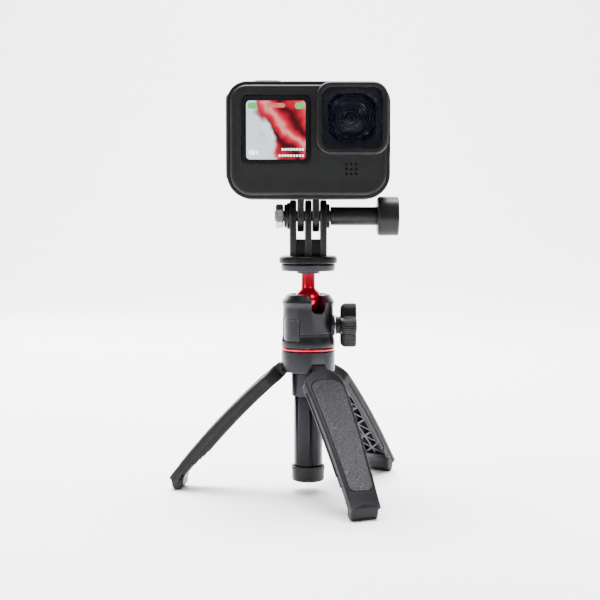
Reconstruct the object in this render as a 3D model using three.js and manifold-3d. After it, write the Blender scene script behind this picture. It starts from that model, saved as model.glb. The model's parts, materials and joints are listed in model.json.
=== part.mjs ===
// A pocket action camera on its folding mini stand: camera, three-prong base with thumb screw,
// ball head, telescopic column and three hinged legs. Millimetres, +Z up, ground at Z = 0.
// The lens looks along -Y. The column stands on the Z axis of the inner group.
import * as THREE from 'three';
import { mergeVertices } from 'three/addons/utils/BufferGeometryUtils.js';
import Module from 'manifold-3d';

const wasm = await Module();
wasm.setup();

// ---------- Clearances ----------
const GAP = 0.3; // between two pieces that touch
const RUN = 0.3; // round a piece that turns or slides

// ---------- Camera ----------
const CAM_WIDTH = 71;
const CAM_HEIGHT = 50.9;
const CAM_DEPTH = 26.4; // without the lens cover
const CAM_CORNER_TOP = 9.5;
const CAM_CORNER_FOOT = 12;
const CAM_WALL = 1.9;
const COVER_INSET = 1.7; // front cover inside the housing's outline
const COVER_THICK = 1.9;
const LENS_X = 18.4;
const LENS_DROP = 16.2; // lens axis below the camera's top
const LENS_RING_R = 9.8;
const LENS_GLASS_R = 7.4;
const LENS_PUPIL_R = 3.1;
const HOOD_WIDTH = 30.6; // square lens cover
const HOOD_HEIGHT = 31.1;
const HOOD_PROUD = 7.2;
const HOOD_CORNER = 6.5;
const HOOD_SHIFT_X = 0.3; // middle of the square from the lens axis
const HOOD_SHIFT_Z = -0.4;
const HOOD_GLASS = 25.6;
const HOOD_GLASS_CORNER = 4;
const HOOD_NECK_R = 13.1;
const FRONT_SCREEN = 29.7;
const FRONT_SCREEN_X = -14.05;
const FRONT_SCREEN_DROP = 21.2;
const FRONT_SCREEN_CORNER = 2.4;
const REAR_SCREEN_WIDTH = 61;
const REAR_SCREEN_HEIGHT = 41;
const REAR_SCREEN_CORNER = 4.7;
const BATTERY = { width: 34, depth: 12.6, height: 38.5, lift: 1.8 }; // lift: above the inside floor
const DOOR_HEIGHT = 37;
const DOOR_DEPTH = 18;
const DOOR_Y = 2.6;
const DOOR_RAISE = 2; // middle of the door above the camera's
const DOOR_THICK = 1.7;
const DOOR_CORNER = 4.4;
const DOOR_PROUD = 0.6;
const LATCH = { width: 7, height: 4, corner: 1.6, rise: 14.2, travel: 1.6 };
const SEAL = { inset: 2.6, width: 1.2 };
const POWER_BUTTON = { height: 10.2, width: 7, rise: 24.4, travel: 0.5 };
const SHUTTER_BUTTON = { length: 12, width: 9, x: -18, travel: 0.6 };
const SOUND_HOLE = { r: 0.55, pitch: 2.1, x: 18.5, rise: 13 };

// ---------- Hinge between camera and base ----------
const HINGE_Z = 123.3;
const HINGE_TO_CAMERA = 7.3; // hinge axis to the camera's underside
const PRONG_R = 7.1;
const PRONG_THICK = 3;
const WEB_HEIGHT = 7.3; // solid part between the prongs, above the base disc
const FINGER_THICK = 3.1;
const BOLT_R = 2.4;
const KNOB_R = 8.8;
const KNOB_LENGTH = 9.4;
const SLEEVE_R = 4.1;
const KNOB_CLEAR = 0.75; // knob's rim to the camera's rounded foot
const KNOB_ROUND = 1.6; // rims of the knob
const NUT_ACROSS = 9.2;
const NUT_THICK = 3.4;
const NUT_BOSS = { r: 5.9, proud: 2.5 };
const SLEEVE_BOSS = { r: 5.4, proud: 1.3 };
const FINGER_PIN_R = 0.9;
// Recess under the camera that the two fingers fold into.
const CRADLE = { halfX: 17, halfY: PRONG_R + 0.6, depth: 4.2, pinRise: 2.2, pinX: 5.6 };
const CRADLE_ROOF = 1.2;
const STUD_R = 1.9; // plate's screw
const INSERT_R = 3.2;
const INSERT_DEPTH = 6.2;

// ---------- Ball head ----------
const BALL_Z = 86.2;
const BALL_R = 6;
const STEM_R = 3;
const PLATE_R = 12.1;
const PLATE_Z = 98.9;
const PLATE_THICK = 3.2;
const PAD_SUNK = 0.9; // recess for the rubber ring in the plate's top
const BASE_DISC_R = 12.9;
const BASE_DISC_THICK = 3.4;
const HEAD_WAIST = 0.5; // body of the head inside its flared foot
const HEAD_FLARE = 5; // height of the flared foot
const HEAD_FLOOR_Z = 65.3;
const HEAD_TOP_Z = 88.8;
const HEAD_BORE_Z = 76.2; // floor of the bore that holds the ball
const NOTCH_WIDTH = 6.8;
const NOTCH_FLOOR_Z = 80.7;
const NOTCH_AZIMUTH = 24.5;
const BADGE = { azimuth: -56, width: 15, height: 10.6, z: 73.1, depth: 0.7 };
const SEAT_WALL = 1.7;
const CUP_R = 3.8;
const LOCK_Z = 74.8;
const LOCK_SCREW_R = 1.8;
const LOCK_LOBE_REACH = 9.8;
const LOCK_LOBE_R = 3.4;
const LOCK_HUB_R = 5.2;
const LOCK_X = 14.2;
const LOCK_THICK = 7.2;
const LOCK_LOBES = 4;
const LOCK_GRIP = 3; // screw's length inside the knob

// ---------- Column ----------
const TUBE_R = 6.4; // outer stage
const TUBE_WALL = 0.6;
const CAP_WALL = 0.8;
const CAP_RISE = 5; // end cap above the ground
const CAP_HEIGHT = 6.9;
const CAP_FLOOR = 2.1;
const SLEEVE_WALL = 0.7;
const COLUMN_SLEEVE_HEIGHT = 10.6;
const COLLAR_Z = 54.3;
const ACCENT_THICK = 1.1;

// ---------- Legs ----------
const LEG_AZIMUTHS = { left: -97, front: 22, rear: 143 };
const LEG_REST_ANGLE = 43.3;
const LEG_PIVOT_Z = 56;
const LEG_PIN_R = 0.9;
const LEG_PIN_LENGTH = 10.4;
const KNUCKLE_R = 2.1;
const TONGUE_WIDTH = 5.8;
const LEG_FACE = 4.15; // pivot line to the outer face
const LEG_DEPTH = 6.7;
const LEG_BULGE = 1.9;
const LEG_CROWN = 1.5;
const LEG_LENGTH = 71.5;
const LEG_WIDTH_TOP = 19;
const LEG_WIDTH_FOOT = 13;
const SHOULDER = 3.4; // where the leg widens from its tongue
const SHOULDER_RUN = 6.2; // length of the sloped shoulders
const LEG_WALL = 1.4;
const LEG_SKIN = 1.9;
const RIB_THICK = 1.2;
const RIB_COUNT = 6;
const PAD_START = 9.5;
const PAD_STOP = 6.3; // end of the grip pad above the leg's end
const PAD_MARGIN = 1.6;
const PAD_THICK = 0.8;
const SHOE_LENGTH = 4.6; // rubber shoe, along the leg
const SOLE_DROP = 3.97; // leg's end above the ground

// ---------- Values that follow ----------
const CAM_BASE = HINGE_TO_CAMERA; // camera heights are counted from the hinge axis
const CAM_TOP = CAM_BASE + CAM_HEIGHT;
const CAM_MID = CAM_BASE + CAM_HEIGHT / 2;
const CAM_FRONT = -CAM_DEPTH / 2;
const CAM_BACK = CAM_DEPTH / 2;
const LENS_Z = CAM_TOP - LENS_DROP;
const HALF = CAM_WIDTH / 2;
const HOUSING_FRONT = CAM_FRONT + COVER_THICK + GAP;
const HOOD_FRONT = CAM_FRONT - HOOD_PROUD;
const FLOOR_Z = CAM_BASE + CRADLE.depth + CRADLE_ROOF; // inside floor
const POWER_Z = CAM_BASE + POWER_BUTTON.rise;
const FINGER_IN = PRONG_THICK / 2 + GAP;
const FINGER_OUT = FINGER_IN + FINGER_THICK;
const OUTER_PRONG = FINGER_OUT + GAP;
const BASE_SIDE = OUTER_PRONG + PRONG_THICK;
const NUT_SEAT = BASE_SIDE + NUT_BOSS.proud;
// The knob begins where the camera's rounded foot has risen past its rim.
const FOOT_CURVE = CAM_CORNER_FOOT - (KNOB_R + KNOB_CLEAR - CAM_BASE);
const KNOB_X = HALF - CAM_CORNER_FOOT + Math.sqrt(CAM_CORNER_FOOT ** 2 - FOOT_CURVE ** 2);
const DISC_Z = PLATE_Z + PLATE_THICK + GAP;
const DISC_TOP = DISC_Z + BASE_DISC_THICK;
const MID_TUBE_R = TUBE_R - TUBE_WALL - RUN;
const INNER_TUBE_R = MID_TUBE_R - TUBE_WALL - RUN;
const COLLAR_TOP = HEAD_FLOOR_Z - 2 * GAP - ACCENT_THICK;
const COLUMN_SLEEVE_R = TUBE_R + GAP + SLEEVE_WALL;
const CAP_R = TUBE_R + GAP + CAP_WALL;
const COLUMN_CLEAR_R = Math.max(CAP_R, COLUMN_SLEEVE_R) + 2 * RUN;
const LEG_PIVOT_R = COLUMN_SLEEVE_R + RUN + KNUCKLE_R;
const COLLAR_R = LEG_PIVOT_R + KNUCKLE_R;
const SLEEVE_TOP_Z = COLLAR_Z - GAP;
const HEAD_FOOT_R = COLLAR_R;
const TUBE_SOCKET_Z = HEAD_FLOOR_Z + 5; // top of the inner tube, in the head
const HEAD_R = HEAD_FOOT_R - HEAD_WAIST;
const SEAT_R = BALL_R + RUN + SEAT_WALL;
const PAD_END = LEG_LENGTH - PAD_STOP;
const SHOE_START = LEG_LENGTH - SHOE_LENGTH;
const degrees = THREE.MathUtils.degToRad;
const REST_SIN = Math.sin(degrees(LEG_REST_ANGLE));
const REST_COS = Math.cos(degrees(LEG_REST_ANGLE));
const LEG_END_Z = LEG_PIVOT_Z - LEG_LENGTH * REST_COS;
const GROUND_Z = LEG_END_Z - SOLE_DROP;
const CAP_Z = GROUND_Z + CAP_RISE;
const TUBE_FOOT_Z = CAP_Z + CAP_FLOOR + GAP;

// ---------- Solids from three.js shapes, joined and cut with manifold-3d ----------
function solid(geometry) {
  const bare = geometry.index ? geometry.toNonIndexed() : geometry.clone();
  bare.deleteAttribute('normal');
  bare.deleteAttribute('uv');
  const merged = mergeVertices(bare, 1e-4);
  const triVerts = new Uint32Array(merged.index.array);
  const vertProperties = merged.attributes.position.array;
  const made = new wasm.Manifold(new wasm.Mesh({ numProp: 3, vertProperties, triVerts }));
  if (made.volume() > 0) return made;
  triVerts.reverse();
  return new wasm.Manifold(new wasm.Mesh({ numProp: 3, vertProperties, triVerts }));
}

function geometryOf(made) {
  const { vertProperties, triVerts } = made.getMesh();
  const geometry = new THREE.BufferGeometry();
  geometry.setAttribute('position', new THREE.BufferAttribute(new Float32Array(vertProperties), 3));
  geometry.setIndex(new THREE.BufferAttribute(new Uint32Array(triVerts), 1));
  geometry.computeVertexNormals();
  return geometry;
}

// A ring or disc turned about Z from a closed [radius, z] profile.
function turned(profile, segments = 24) {
  const points = [...profile, profile[0]].map(([r, z]) => new THREE.Vector2(r, z));
  return solid(new THREE.LatheGeometry(points, segments).rotateX(Math.PI / 2));
}

// A block between two corners.
function block(low, high) {
  const [w, d, h] = [0, 1, 2].map((i) => high[i] - low[i]);
  return solid(new THREE.BoxGeometry(w, d, h).translate(low[0] + w / 2, low[1] + d / 2, low[2] + h / 2));
}

// A cylinder along 'x', 'y' or 'z', from one place on that axis to another.
function rod(axis, r, from, to, [a, b] = [0, 0], segments = 20) {
  const shape = new THREE.CylinderGeometry(r, r, to - from, segments).translate(0, (from + to) / 2, 0);
  if (axis === 'x') return solid(shape.rotateZ(-Math.PI / 2).translate(0, a, b));
  if (axis === 'z') return solid(shape.rotateX(Math.PI / 2).translate(a, b, 0));
  return solid(shape.translate(a, 0, b));
}

// A rounded rectangle about (x, y); top and foot corners may differ.
function roundedRect(width, height, rTop, rFoot = rTop, x = 0, y = 0) {
  const [w, h, quarter] = [width / 2, height / 2, Math.PI / 2];
  return new THREE.Shape()
    .moveTo(x - w + rFoot, y - h)
    .lineTo(x + w - rFoot, y - h)
    .absarc(x + w - rFoot, y - h + rFoot, rFoot, -quarter, 0)
    .lineTo(x + w, y + h - rTop)
    .absarc(x + w - rTop, y + h - rTop, rTop, 0, quarter)
    .lineTo(x - w + rTop, y + h)
    .absarc(x - w + rTop, y + h - rTop, rTop, quarter, 2 * quarter)
    .lineTo(x - w, y - h + rFoot)
    .absarc(x - w + rFoot, y - h + rFoot, rFoot, 2 * quarter, 3 * quarter);
}

// A flat XZ outline given thickness from one Y to another, with its rims rounded off by `round`.
function slab(shape, fromY, toY, round = 0, curveSegments = 4) {
  const depth = toY - fromY - 2 * round;
  const bevel = { bevelThickness: round, bevelSize: round, bevelOffset: -round, bevelSegments: 1 };
  const options = { depth, curveSegments, bevelEnabled: round > 0, ...bevel };
  return solid(new THREE.ExtrudeGeometry(shape, options).rotateX(Math.PI / 2).translate(0, toY - round, 0));
}

// A flat YZ outline (drawn as y, z) given thickness from one X to another.
function sideSlab(shape, fromX, toX, curveSegments = 4) {
  const flat = new THREE.ExtrudeGeometry(shape, { depth: toX - fromX, curveSegments, bevelEnabled: false });
  return solid(flat.rotateX(Math.PI / 2).rotateZ(Math.PI / 2).translate(fromX, 0, 0));
}

// A flat XY outline given height from one Z to another.
function upright(shape, fromZ, toZ, curveSegments = 4) {
  const flat = new THREE.ExtrudeGeometry(shape, { depth: toZ - fromZ, curveSegments, bevelEnabled: false });
  return solid(flat.translate(0, 0, fromZ));
}

const join = (...solids) => solids.reduce((a, b) => a.add(b));
const cut = (body, ...tools) => tools.reduce((a, b) => a.subtract(b), body);

const finishes = {
  darkPlastic: { color: 0x343538, roughness: 0.55, metalness: 0 },
  blackPlastic: { color: 0x1c1c1e, roughness: 0.5, metalness: 0 },
  legPlastic: { color: 0x55555a, roughness: 0.5, metalness: 0 },
  rubber: { color: 0x1a1a1c, roughness: 0.85, metalness: 0 },
  grip: { color: 0x5a5965, roughness: 0.7, metalness: 0 },
  blackMetal: { color: 0x4a4a4e, roughness: 0.35, metalness: 0.6 },
  glossBlack: { color: 0x141416, roughness: 0.15, metalness: 0.3 },
  red: { color: 0xd81c3a, roughness: 0.25, metalness: 0.7 },
  steel: { color: 0xb8babd, roughness: 0.3, metalness: 1 },
  brass: { color: 0xb08d4c, roughness: 0.35, metalness: 1 },
  glass: { color: 0x0c0e12, roughness: 0.05, metalness: 0 },
  board: { color: 0x1f5a3a, roughness: 0.6, metalness: 0 },
};

function piece(parent, name, made, finish) {
  const mesh = new THREE.Mesh(geometryOf(made), new THREE.MeshStandardMaterial(finishes[finish]));
  mesh.name = name;
  parent.add(mesh);
}

// ---------- Camera pieces (origin on the hinge axis) ----------
function cameraOutline(inset) {
  const height = CAM_HEIGHT - 2 * inset;
  const [top, foot] = [CAM_CORNER_TOP - inset, CAM_CORNER_FOOT - inset];
  return roundedRect(CAM_WIDTH - 2 * inset, height, top, foot, 0, CAM_MID);
}

// Cast housing: open at the front, with the battery bay on one side and the finger recess below.
function housing() {
  const shell = slab(cameraOutline(0), HOUSING_FRONT, CAM_BACK, 1.2, 6);
  const cavity = slab(cameraOutline(CAM_WALL), HOUSING_FRONT - 1, CAM_BACK - CAM_WALL);
  const cradleBlock = block(
    [-CRADLE.halfX - CAM_WALL, -CRADLE.halfY - CAM_WALL, CAM_BASE + CAM_WALL / 2],
    [CRADLE.halfX + CAM_WALL, CRADLE.halfY + CAM_WALL, FLOOR_Z],
  );
  const recess = block(
    [-CRADLE.halfX, -CRADLE.halfY, CAM_BASE - 1],
    [CRADLE.halfX, CRADLE.halfY, CAM_BASE + CRADLE.depth],
  );
  const screenRecess = slab(rearScreenOutline(GAP), CAM_BACK - 1.1, CAM_BACK + 1);
  const doorRecess = sideSlab(doorOutline(GAP), -HALF - 1, -HALF + DOOR_THICK + GAP - DOOR_PROUD);
  const bay = sideSlab(doorOutline(-2.2), -HALF - 1, -HALF + 4);
  const shutterWell = block(
    [SHUTTER_BUTTON.x - SHUTTER_BUTTON.length / 2 - RUN, -SHUTTER_BUTTON.width / 2 - RUN, CAM_TOP - 4],
    [SHUTTER_BUTTON.x + SHUTTER_BUTTON.length / 2 + RUN, SHUTTER_BUTTON.width / 2 + RUN, CAM_TOP + 1],
  );
  const powerWell = block(
    [HALF - 4, -POWER_BUTTON.width / 2 - RUN, POWER_Z - POWER_BUTTON.height / 2 - RUN],
    [HALF + 1, POWER_BUTTON.width / 2 + RUN, POWER_Z + POWER_BUTTON.height / 2 + RUN],
  );
  const pinHoles = [-1, 1].map((side) =>
    rod('y', FINGER_PIN_R + GAP, -CRADLE.halfY - CAM_WALL + 0.6, CRADLE.halfY + CAM_WALL - 0.6,
      [side * CRADLE.pinX, CAM_BASE + CRADLE.pinRise], 12));
  return cut(join(cut(shell, cavity), cradleBlock.intersect(shell)),
    recess, screenRecess, doorRecess, bay, shutterWell, powerWell, ...pinHoles);
}

// The door's outline, seen from the side, grown by `extra` all round.
function doorOutline(extra) {
  const [w, h] = [DOOR_DEPTH + 2 * extra, DOOR_HEIGHT + 2 * extra];
  return roundedRect(w, h, DOOR_CORNER + extra, DOOR_CORNER + extra, DOOR_Y, CAM_MID + DOOR_RAISE);
}

// Moulded front cover with the screen recess, the lens opening and the grid of sound holes.
function frontCover() {
  const plate = slab(cameraOutline(COVER_INSET), CAM_FRONT, CAM_FRONT + COVER_THICK, 0.5, 5);
  const screen = slab(frontScreenOutline(GAP), CAM_FRONT - 1, CAM_FRONT + 1);
  const behind = CAM_FRONT + COVER_THICK + 1;
  const lens = rod('y', HOOD_NECK_R + RUN, CAM_FRONT - 1, behind, [LENS_X, LENS_Z], 30);
  const holes = [];
  for (let column = -1; column <= 1; column += 1)
    for (let row = -1; row <= 1; row += 1) {
      const x = SOUND_HOLE.x + column * SOUND_HOLE.pitch;
      const z = CAM_BASE + SOUND_HOLE.rise + row * SOUND_HOLE.pitch;
      holes.push(rod('y', SOUND_HOLE.r, CAM_FRONT - 1, behind, [x, z], 8));
    }
  return cut(plate, screen, lens, ...holes);
}

function frontScreenOutline(extra) {
  const [size, corner] = [FRONT_SCREEN + 2 * extra, FRONT_SCREEN_CORNER + extra];
  return roundedRect(size, size, corner, corner, FRONT_SCREEN_X, CAM_TOP - FRONT_SCREEN_DROP);
}

const frontScreen = () => slab(frontScreenOutline(0), CAM_FRONT + 0.05, CAM_FRONT + 0.7);

function rearScreenOutline(extra) {
  const [w, h] = [REAR_SCREEN_WIDTH + 2 * extra, REAR_SCREEN_HEIGHT + 2 * extra];
  return roundedRect(w, h, REAR_SCREEN_CORNER + extra, REAR_SCREEN_CORNER + extra, 0, CAM_MID);
}

const rearScreen = () => slab(rearScreenOutline(0), CAM_BACK - 0.8, CAM_BACK - 0.05);

// A profile of [radius, depth] turned about the lens axis; depth runs to the back.
function turnedOnLens(profile, segments = 24) {
  const points = [...profile, profile[0]].map(([r, y]) => new THREE.Vector2(r, y));
  return solid(new THREE.LatheGeometry(points, segments).translate(LENS_X, 0, LENS_Z));
}

// Lens barrel: stepped rings round the front glass, closed towards the sensor by its rear seat.
function lensBarrel() {
  const front = HOOD_FRONT + 2.6;
  return turnedOnLens([
    [LENS_GLASS_R + GAP, front + 0.9], [LENS_GLASS_R + 0.9, front], [LENS_RING_R, front],
    [LENS_RING_R, CAM_FRONT + 3], [LENS_RING_R + 1.6, CAM_FRONT + 3], [LENS_RING_R + 1.6, CAM_FRONT + 5],
    [LENS_RING_R - 0.8, CAM_FRONT + 5], [LENS_RING_R - 0.8, CAM_BACK - 5.4], [LENS_PUPIL_R, CAM_BACK - 5.4],
    [LENS_PUPIL_R, front + 6.4], [LENS_GLASS_R + GAP, front + 4.2],
  ]);
}

// Domed front element: a spherical cap over a short rim.
function frontElement() {
  const front = HOOD_FRONT + 2.4;
  const rise = 2;
  const steps = 5;
  const profile = [[0, front + 4], [LENS_GLASS_R, front + 3.6], [LENS_GLASS_R, front + rise]];
  for (let i = steps - 1; i >= 0; i -= 1) {
    const r = (LENS_GLASS_R * i) / steps;
    profile.push([r, front + rise * (r / LENS_GLASS_R) ** 2]);
  }
  return turnedOnLens(profile);
}

// A rounded square about the middle of the lens cover.
function hoodOutline(width, height, corner) {
  return roundedRect(width, height, corner, corner, LENS_X + HOOD_SHIFT_X, LENS_Z + HOOD_SHIFT_Z);
}

// Square lens cover on a round neck that turns a quarter turn in the front cover.
function lensCover() {
  const onLens = [LENS_X, LENS_Z];
  const seatSize = HOOD_GLASS + 2 * GAP;
  const outer = hoodOutline(HOOD_WIDTH, HOOD_HEIGHT, HOOD_CORNER);
  const frame = slab(outer, HOOD_FRONT, CAM_FRONT - GAP, 0.8, 5);
  const neck = rod('y', HOOD_NECK_R, CAM_FRONT - GAP - 0.5, CAM_FRONT + COVER_THICK + GAP, onLens, 30);
  const seat = hoodOutline(seatSize, seatSize, HOOD_GLASS_CORNER + GAP);
  const glassSeat = slab(seat, HOOD_FRONT - 1, HOOD_FRONT + 1.4);
  const bore = rod('y', LENS_RING_R + 1.9, HOOD_FRONT - 1, CAM_BACK, onLens, 30);
  return cut(join(frame, neck), glassSeat, bore);
}

function lensCoverGlass() {
  return slab(hoodOutline(HOOD_GLASS, HOOD_GLASS, HOOD_GLASS_CORNER), HOOD_FRONT + 0.1, HOOD_FRONT + 1.1);
}

function batteryDoor() {
  const door = sideSlab(doorOutline(0), -HALF - DOOR_PROUD, -HALF + DOOR_THICK - DOOR_PROUD);
  return cut(door, sideSlab(latchOutline(RUN, LATCH.travel), -HALF - 1, -HALF + 0.4));
}

// The latch slides down in its slot; `room` lengthens the outline downwards.
function latchOutline(extra, room) {
  const [w, h] = [LATCH.width + 2 * extra, LATCH.height + 2 * extra + room];
  return roundedRect(w, h, LATCH.corner, LATCH.corner, DOOR_Y, CAM_BASE + LATCH.rise - room / 2);
}

const doorLatch = () => sideSlab(latchOutline(0, 0), -HALF - DOOR_PROUD - 0.3, -HALF + 0.1);

// Soft ring on the door's inner face.
function doorSeal() {
  const inner = -HALF + DOOR_THICK - DOOR_PROUD + GAP;
  const ring = sideSlab(doorOutline(-SEAL.inset), inner, inner + 1);
  return cut(ring, sideSlab(doorOutline(-SEAL.inset - SEAL.width), -HALF, -HALF + 4));
}

function shutterButton() {
  const { length, width, x, travel } = SHUTTER_BUTTON;
  const shape = roundedRect(length, width, 3.4, 3.4, x, 0);
  return upright(shape, CAM_TOP - CAM_WALL + 0.6 + travel, CAM_TOP + 0.5 + travel);
}

function powerButton() {
  const shape = roundedRect(POWER_BUTTON.width, POWER_BUTTON.height, 2.6, 2.6, 0, POWER_Z);
  return sideSlab(shape, HALF - CAM_WALL + POWER_BUTTON.travel, HALF + POWER_BUTTON.travel + 0.1);
}

// One folding finger: a rounded plate round the bolt with a knuckle on its own pin.
function foldingFinger(side) {
  const shape = new THREE.Shape()
    .moveTo(-PRONG_R, 0)
    .absarc(0, 0, PRONG_R - 0.2, Math.PI, 2 * Math.PI)
    .lineTo(PRONG_R - 0.2, CAM_BASE + CRADLE.depth - GAP)
    .lineTo(-PRONG_R, CAM_BASE + CRADLE.depth - GAP);
  const [near, far] = side > 0 ? [FINGER_IN, FINGER_OUT] : [-FINGER_OUT, -FINGER_IN];
  const plate = sideSlab(shape, near, far);
  const [pinX, pinZ] = [side * CRADLE.pinX, CAM_BASE + CRADLE.pinRise];
  const foot = block(
    [Math.min(near, pinX - 1.9), -PRONG_R, CAM_BASE + 0.5],
    [Math.max(far, pinX + 1.9), PRONG_R - 0.2, CAM_BASE + CRADLE.depth - GAP],
  );
  const boltHole = rod('x', BOLT_R + RUN, near - 1, far + 1);
  const pinHole = rod('y', FINGER_PIN_R + GAP, -20, 20, [pinX, pinZ], 12);
  return cut(join(plate, foot), boltHole, pinHole);
}

function fingerPin(side) {
  const reach = CRADLE.halfY + CAM_WALL - 0.6 - GAP;
  return rod('y', FINGER_PIN_R, -reach, reach, [side * CRADLE.pinX, CAM_BASE + CRADLE.pinRise], 12);
}

function battery() {
  const left = -HALF + DOOR_THICK + 2;
  const y = CAM_BACK - CAM_WALL - GAP - BATTERY.depth;
  const foot = FLOOR_Z + BATTERY.lift;
  return block([left, y, foot], [left + BATTERY.width, y + BATTERY.depth, foot + BATTERY.height]);
}

function mainBoard() {
  const left = -HALF + DOOR_THICK + 2 + BATTERY.width + 2;
  return block([left, -2, FLOOR_Z + GAP], [HALF - CAM_CORNER_FOOT / 2, -0.6, LENS_Z - LENS_RING_R - 2.4]);
}

function sensorBoard() {
  const reach = LENS_RING_R;
  const y = CAM_BACK - 5.4 + GAP;
  return block([LENS_X - reach, y, LENS_Z - reach], [LENS_X + reach, y + 1.4, LENS_Z + reach]);
}

function speaker() {
  const y = CAM_FRONT + COVER_THICK + GAP;
  return rod('y', 4.6, y, y + 2.6, [SOUND_HOLE.x, CAM_BASE + SOUND_HOLE.rise], 20);
}

// ---------- Three-prong base and thumb screw (origin on the hinge axis) ----------
function prong(fromX, toX, foot) {
  const shape = new THREE.Shape()
    .moveTo(PRONG_R, foot)
    .lineTo(PRONG_R, 0)
    .absarc(0, 0, PRONG_R, 0, Math.PI)
    .lineTo(-PRONG_R, foot);
  return sideSlab(shape, fromX, toX, 7);
}

function mountBase() {
  const foot = DISC_TOP - HINGE_Z;
  const low = DISC_Z - HINGE_Z;
  const disc = turned([
    [0, low], [BASE_DISC_R - 0.8, low], [BASE_DISC_R, low + 0.9], [BASE_DISC_R, foot - 0.9],
    [BASE_DISC_R - 0.8, foot], [0, foot],
  ], 32);
  const prongs = [
    [-PRONG_THICK / 2, PRONG_THICK / 2], [OUTER_PRONG, BASE_SIDE], [-BASE_SIDE, -OUTER_PRONG],
  ].map(([a, b]) => prong(a, b, foot - 0.5));
  const bridge = block(
    [-BASE_SIDE + 1, -PRONG_R + 1, foot - 0.5],
    [BASE_SIDE - 1, PRONG_R - 1, foot + WEB_HEIGHT],
  );
  const nutBoss = rod('x', NUT_BOSS.r, -NUT_SEAT, -BASE_SIDE + 0.5, [0, 0], 28);
  const sleeveBoss = rod('x', SLEEVE_BOSS.r, BASE_SIDE - 0.5, BASE_SIDE + SLEEVE_BOSS.proud, [0, 0], 28);
  const socket = rod('z', INSERT_R + GAP, low - 1, low + INSERT_DEPTH + GAP, [0, 0], 24);
  return cut(join(disc, ...prongs, bridge, nutBoss, sleeveBoss), rod('x', BOLT_R + RUN, -40, 40), socket);
}

const insert = () => cut(
  rod('z', INSERT_R, DISC_Z - HINGE_Z + 0.2, DISC_Z - HINGE_Z + INSERT_DEPTH, [0, 0], 24),
  rod('z', STUD_R + GAP, -40, 0, [0, 0], 20),
);


function hexNut() {
  const cornerR = NUT_ACROSS / Math.sqrt(3);
  const nut = new THREE.CylinderGeometry(cornerR, cornerR, NUT_THICK, 6).rotateZ(-Math.PI / 2);
  const x = -NUT_SEAT - GAP - NUT_THICK / 2;
  return cut(solid(nut.translate(x, 0, 0)), rod('x', BOLT_R + RUN, -40, 0));
}

const thumbBolt = () => rod('x', BOLT_R, -NUT_SEAT - GAP - NUT_THICK - 0.4, KNOB_X - 2 - GAP);

// Knob with a long sleeve that clears the camera's foot, moulded round the bolt's head.
function thumbKnob() {
  const [start, end, round] = [BASE_SIDE + SLEEVE_BOSS.proud + GAP, KNOB_X + KNOB_LENGTH, KNOB_ROUND];
  const profile = [
    [0, start], [SLEEVE_R, start], [SLEEVE_R, KNOB_X], [KNOB_R - round, KNOB_X], [KNOB_R, KNOB_X + round],
    [KNOB_R, end - round], [KNOB_R - round, end], [0, end],
  ].map(([r, x]) => new THREE.Vector2(r, x));
  const body = solid(new THREE.LatheGeometry([...profile, profile[0]], 28).rotateZ(-Math.PI / 2));
  return cut(body, rod('x', BOLT_R + GAP, start - 1, KNOB_X - 2));
}

// ---------- Ball head ----------
function arc(radius, fromDeg, toDeg, z, steps) {
  return Array.from({ length: steps + 1 }, (_, i) => {
    const a = degrees(fromDeg + ((toDeg - fromDeg) * i) / steps);
    return [radius * Math.cos(a), z + radius * Math.sin(a)];
  });
}

// Red ball and neck in one piece, with a flared boss under the plate.
function ballStem() {
  const join30 = THREE.MathUtils.radToDeg(Math.acos(STEM_R / BALL_R));
  const top = PLATE_Z - GAP;
  return turned([
    [0, BALL_Z - BALL_R], ...arc(BALL_R, -78, join30, BALL_Z, 8),
    [STEM_R, top - 0.8], [STEM_R + 1.8, top - 0.8], [STEM_R + 1.8, top], [0, top],
  ]);
}

function topPlate() {
  const top = PLATE_Z + PLATE_THICK;
  return turned([
    [STUD_R + GAP, PLATE_Z], [PLATE_R - 0.6, PLATE_Z], [PLATE_R, PLATE_Z + 0.6], [PLATE_R, top - 0.4],
    [PLATE_R - 0.4, top], [PLATE_R - 1.7, top],
    [PLATE_R - 1.7, top - PAD_SUNK], [STUD_R + GAP, top - PAD_SUNK],
  ], 32);
}

const platePad = () => turned([
  [4, PLATE_Z + PLATE_THICK - PAD_SUNK + 0.2], [PLATE_R - 2, PLATE_Z + PLATE_THICK - PAD_SUNK + 0.2],
  [PLATE_R - 2, PLATE_Z + PLATE_THICK], [4, PLATE_Z + PLATE_THICK],
], 32);

const stud = () => rod('z', STUD_R, PLATE_Z, PLATE_Z + PLATE_THICK + 5, [0, 0], 20);

// A block of given width that runs outwards from the axis at an azimuth counted from the front.
function radialCut(azimuth, width, from, to, lowZ, highZ) {
  const shape = new THREE.BoxGeometry(to - from, width, highZ - lowZ)
    .translate((from + to) / 2, 0, (lowZ + highZ) / 2);
  return solid(shape.rotateZ(degrees(azimuth - 90)));
}

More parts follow.
